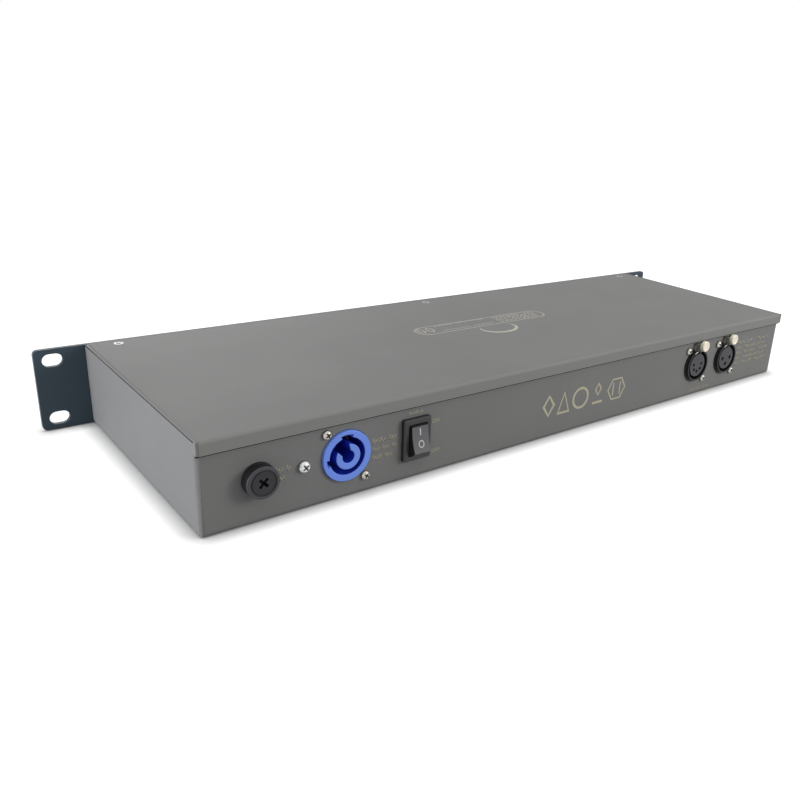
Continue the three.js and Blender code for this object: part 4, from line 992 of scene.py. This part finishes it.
input_x = middle("input_insert").x
input_place = front_place(input_x)
key_groove = rectangle(PINS.key_width, PINS.key_depth, 0, -SOCKET.bore)
key_groove = prism(key_groove, PINS.key_low, PINS.key_high)
input_shell = cut(socket_shell([(SOCKET.bore, -PINS.cavity, 0)], PANEL, latch=False), key_groove)
add_piece("input_shell", input_shell, input_place, BLACK_SHELL, "input_socket")
disc_back = SEAT - PINS.cavity
disc_front = disc_back + PINS.disc
input_disc = turned([
    (SOCKET.bore - SEAT, disc_back, 0.2),
    (SOCKET.bore - SEAT, disc_front, 0.3),
])
add_piece("input_disc", input_disc, input_place, GREY_PLASTIC, "input_insert")
pin_foot = disc_front - PINS.root
input_pin = turned([
    (PINS.radius, pin_foot, 0),
    (PINS.radius, PINS.tip, 0.7),
], PIN_SIDES, 6)
add_contacts("input_pin", input_pin, THREE_HOLES, input_place, NICKEL)

for number, x in enumerate([input_x, *outputs]):
    for side, word in ((-1, "upper"), (1, "lower")):
        across, up = side * SOCKET.screw_x, -side * SOCKET.screw_z
        screw = moved(front_screw, across, up, SLIGHT, 30 * number + 40 * side)
        add_screw(f"front_screw_{number}_{word}", screw, front_place(x), NICKEL, PAN_HEAD, SLIGHT,
                  x=across, y=up)

# Light guides beside the outputs
finish_node("indicator_strip", CLEAR_GUIDE)
half_pitch = (outputs[1] - outputs[0]) / 2
dome = turned([
    (INDICATOR.radius, INDICATOR.low, 0),
    (INDICATOR.radius, INDICATOR.rim, 0.4),
    (INDICATOR.crown, INDICATOR.proud, 0.6),
], PIN_SIDES, 6)
for number, x in enumerate(outputs, 1):
    place = front_place(x - half_pitch, middle("indicator_strip").z)
    add_piece(f"indicator_dome_{number}", dome, place, CLEAR_GUIDE)

# Dark strips in the gaps between the cover and the tray, at the sides and under the lip: painted shade
tray_low, tray_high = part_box("chassis_tray")
wall_wide = (tray_high.x - tray_low.x) / MM - SEAT
for side, name in ((-1, "right"), (1, "left")):
    shade_x = side * (tray_high.x / MM - SIDE_GAP_SHADE.inset)
    side_shade_strip = prism(rectangle(SIDE_GAP_SHADE.width, SIDE_GAP_SHADE.length, shade_x, SIDE_GAP_SHADE.y), SIDE_GAP_SHADE.low, SIDE_GAP_SHADE.high)
    add_piece(f"cover_gap_shade_{name}", side_shade_strip, cover_top, SHADE_BLACK)
lip_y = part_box("top_cover")[0].z / MM - LIP_SHADE.drop
lip_shade_strip = prism(rectangle(wall_wide, LIP_SHADE.height, 0, lip_y), 0, SEAT - LIP_SHADE.sunk)
add_piece("lip_shade_strip", lip_shade_strip, rear_wall, SHADE_BLACK)


# Printed marks
def bar(width, height, x, y):
    return prism(rectangle(width, height, x, y), 0, INK_DEPTH)


def hollow(outer, inner):
    return cut(prism(outer, 0, INK_DEPTH), prism(inner, -OVERRUN, OVERRUN))


def outlined(points, width):
    """An outline of even width round a regular closed form"""
    centre = Vector((sum(x for x, y in points), sum(y for x, y in points))) / len(points)
    inner = []
    for point in points:
        offset = Vector(point) - centre
        inner.append(tuple(centre + offset * (1 - width / offset.length)))
    return hollow(points, inner)


def stretched(points, width, height, x, y):
    """The points fitted to a box of the given width and height about x, y"""
    fitted = []
    for values, size, centre in zip(zip(*points), (width, height), (x, y)):
        low, high = min(values), max(values)
        fitted.append([centre + ((value - low) / (high - low) - 0.5) * size for value in values])
    return list(zip(*fitted))


def lettered(text, height, x, y):
    curve = bpy.data.curves.new("letters", "FONT")
    curve.body = text
    curve.size = height / CAPITAL_SHARE
    curve.extrude = INK_DEPTH / 2
    curve.align_x = "CENTER"
    curve.align_y = "CENTER"
    curve.resolution_u = 4
    holder = bpy.data.objects.new("letters", curve)
    SCENE.collection.objects.link(holder)
    graph = bpy.context.evaluated_depsgraph_get()
    mesh = bpy.data.meshes.new_from_object(holder.evaluated_get(graph))
    bpy.data.objects.remove(holder)
    return moved(mesh, x, y, INK_DEPTH / 2)


# Widths and places along a line of ticks are shares of a tick's cell, heights of the line's height
TICK = Sizes(width=0.38, at=0.2, heights=(1, 0.72, 0.86))
CROSSBAR = Sizes(width=0.5, height=0.18, at=0.4, up=0.1)
FOOT_BAR = Sizes(height=0.2, down=0.4, gap=0.35)


def ticked_line(left, right, y, height, groups):
    """A line of fine upright ticks with a foot bar under each group, of the given numbers of ticks"""
    cell = (right - left) / (sum(groups) + len(groups) - 1)
    marks = []
    start = left
    for count in groups:
        wide = cell * (count - FOOT_BAR.gap)
        marks.append(bar(wide, height * FOOT_BAR.height, start + wide / 2, y - height * FOOT_BAR.down))
        for i in range(count):
            tall = height * TICK.heights[i % len(TICK.heights)]
            at = start + cell * (i + TICK.at)
            marks.append(bar(cell * TICK.width, tall, at, y - (height - tall) / 2))
            if i % 2 == 0:
                marks.append(bar(cell * CROSSBAR.width, height * CROSSBAR.height,
                                 start + cell * (i + CROSSBAR.at), y + height * CROSSBAR.up))
        start += (count + 1) * cell
    return marks


def ticked_lines(lines):
    return [mark for line in lines for mark in ticked_line(*line)]


def add_marks(name, meshes, place, ink):
    """Several separate marks as one piece"""
    bm = bmesh.new()
    for mesh in meshes:
        bm.from_mesh(mesh)
    add_piece(name, stored(bm), place, ink)


# Each line: its left and right ends, its place up the wall, its height, and the ticks in its groups
REAR_LINES = {
    "fuse_marks": ((-181.8, -174.2, 23.1, 2.6, [3, 2]), (-181.6, -177, 19, 2.4, [3])),
    "inlet_marks": ((-132.6, -118.6, 25.4, 2.5, [5, 3]), (-132.6, -118.8, 21.1, 2.3, [3, 3, 2]),
                    (-132.6, -121.4, 16.8, 2.3, [4, 3])),
    "switch_marks": ((-112.4, -103.4, 35.2, 1.9, [6]),),
    "link_marks": ((117.6, 139, 4.1, 1.5, [7, 6, 8]),),
    "pin_table_marks": ((168, 208, 30, 2, [4, 3]), (168, 204, 26, 2, [2, 8]),
                        (168, 208, 22.2, 2, [2, 5, 4]), (168, 204, 18.4, 2, [2, 9]),
                        (168, 208, 14.6, 2, [2, 4, 5])),
}
REAR_WORDS = {"switch_marks": (("ON", 2.1, -96, 28), ("OFF", 2.1, -95.4, 11.8))}
for name, lines in REAR_LINES.items():
    words = [lettered(*word) for word in REAR_WORDS.get(name, ())]
    add_marks(name, ticked_lines(lines) + words, rear_wall, FAINT_INK)

# Five plain shapes in a row. Each outline: sides, spin, width, height, x, y and its line's width.
SHAPE_Y = 19.5
SHAPE_HIGH = 13.6
SHAPES = (
    (4, 90, 10, SHAPE_HIGH, -16.3, SHAPE_Y, 1.9),
    (3, 90, 10.4, SHAPE_HIGH, -4.2, SHAPE_Y, 1.9),
    (OVAL_SIDES, 0, SHAPE_HIGH, SHAPE_HIGH, 9.6, SHAPE_Y, 1.5),
    (4, 90, 6, 8.6, 24.5, SHAPE_Y + 2.6, 1.2),
    (6, 0, 16.4, SHAPE_HIGH, 41, SHAPE_Y, 1.1),
)
SHAPE_BARS = (
    (8.6, 1.5, 24.5, SHAPE_Y - 5.6),
    (1, SHAPE_HIGH * 0.6, 38, SHAPE_Y),
    (1, SHAPE_HIGH * 0.6, 44, SHAPE_Y),
)
add_marks("shape_marks", [
    *[outlined(stretched(oval(1, 1, sides=sides, spin=spin), *box), line)
      for sides, spin, *box, line in SHAPES],
    *[bar(*sizes) for sizes in SHAPE_BARS],
], rear_wall, INK)
add_marks("output_numbers", [
    lettered(str(number), 3.2, x / MM, 5.4) for number, x in enumerate(outputs, 1)
], front_wall, INK)
input_mark = oval(2, 2, input_x / MM, 5.2, sides=3, spin=90)
add_marks("input_marks", [prism(input_mark, 0, INK_DEPTH)], front_wall, INK)

# A long rounded band on the cover with fine lines in it, and a plain oval behind it
BAND = Sizes(width=104, height=15, corner=7.4, x=-3, y=64.5, line=0.6)
COVER_LINES = (
    (-8, 32, 58.5, 1.5, [14, 9]), (-8, 32, 68.5, 1.5, [9, 12]), (-50, -13, 60, 2, [3, 8]),
    (-49, -13, 63, 2, [10]), (-48, -13, 66, 2, [7, 3]), (-47, -13, 69, 2, [9]),
)
band = rounded_rectangle(BAND.width, BAND.height, BAND.corner, BAND.x, BAND.y)
band_inner = stretched(band, BAND.width - 2 * BAND.line, BAND.height - 2 * BAND.line, BAND.x, BAND.y)
add_marks("cover_marks", [
    hollow(band, band_inner),
    *ticked_lines(COVER_LINES),
    *[outlined(oval(2.2, 4.2, x, 63.5, OVAL_SIDES), 0.8) for x in (38, 44.5)],
    hollow(oval(13.5, 10, -4, 79.5, OVAL_SIDES), oval(12.2, 9.4, -4, 77.8, OVAL_SIDES)),
], cover_top, COVER_INK)

# Floor, backdrop and lights
FLOOR_RADIUS = 8
FLOOR_SEEN = 0.5
FLOOR_BOUNCE = 0.35
FLOOR_GLOW = 0.75
CONTACT_REACH = 9  # how far the dark line along the object's foot spreads, in millimetres
CONTACT_DEPTH = 2
SKY_LEVEL = 0.5
OVERHEAD_LEVEL = 0.15
WHITE = (1, 1, 1, 1)


def seen_directly(tree):
    """1 for camera, glossy and transmission rays, else 0"""
    path = add_node(tree, "LightPath", {})
    seen = path.outputs["Is Camera Ray"]
    for kind in ("Is Glossy Ray", "Is Transmission Ray"):
        seen = add_node(tree, "Math", {0: seen, 1: path.outputs[kind]}, operation="MAXIMUM").outputs[0]
    return seen


def shadow_floor():
    bm = bmesh.new()
    bmesh.ops.create_circle(bm, cap_ends=True, segments=64, radius=FLOOR_RADIUS)
    material = bpy.data.materials.new("floor")
    material.use_nodes = True
    tree = material.node_tree
    seen = seen_directly(tree)
    near = add_node(tree, "AmbientOcclusion", {"Distance": CONTACT_REACH * MM}, samples=8)
    open_share = add_node(tree, "Math", {0: near.outputs["AO"], 1: CONTACT_DEPTH}, operation="POWER")
    full_glow = ranged(tree, seen, 0, FLOOR_GLOW, 0, 1)
    glow = add_node(tree, "Math", {0: full_glow, 1: open_share.outputs[0]}, operation="MULTIPLY")
    feed(tree.nodes["Principled BSDF"], {
        "Base Color": ranged(tree, seen, FLOOR_BOUNCE, FLOOR_SEEN, 0, 1),
        "Roughness": 1,
        "Specular IOR Level": 0,
        "Emission Color": WHITE,
        "Emission Strength": glow.outputs[0],
    })
    mesh = stored(bm, "floor")
    mesh.materials.append(material)
    floor = bpy.data.objects.new("floor", mesh)
    SCENE.collection.objects.link(floor)


shadow_floor()
world = bpy.data.worlds.new("studio")
SCENE.world = world
world.use_nodes = True
feed(world.node_tree.nodes["Background"], {
    "Color": WHITE,
    "Strength": ranged(world.node_tree, seen_directly(world.node_tree), SKY_LEVEL, 1, 0, 1),
})


def add_lamp(name, kind, way, energy, **settings):
    lamp = bpy.data.lights.new(name, kind)
    lamp.energy = energy
    for key, value in settings.items():
        setattr(lamp, key, value)
    holder = bpy.data.objects.new(name, lamp)
    holder.rotation_euler = way.to_track_quat("Z", "Y").to_euler()
    SCENE.collection.objects.link(holder)
    return holder


def softbox(name, place, target, size, brightness, **settings):
    """A square lamp that adds brightness to a surface at its target that faces it"""
    way = Vector(place) - Vector(target)
    energy = brightness * math.pi ** 2 * way.length_squared
    add_lamp(name, "AREA", way, energy, shape="SQUARE", size=size, **settings).location = place


softbox("side_light", (0.95, -0.06, 0.03), (0.2165, 0, 0.022), 0.3, 1.47, color=(0.925, 0.94, 1))
softbox("rear_light", (-0.75, 0.95, 0.5), (-0.05, 0.075, 0.02), 0.5, 0.39)
softbox("front_light", (-0.15, -1.3, 0.14), (0, -0.08, 0.022), 0.8, 0.5)
# A wide distant lamp that adds the same brightness everywhere
add_lamp("overhead_light", "SUN", UP, OVERHEAD_LEVEL * math.pi, angle=math.radians(80))

SCENE.view_settings.view_transform = "Standard"
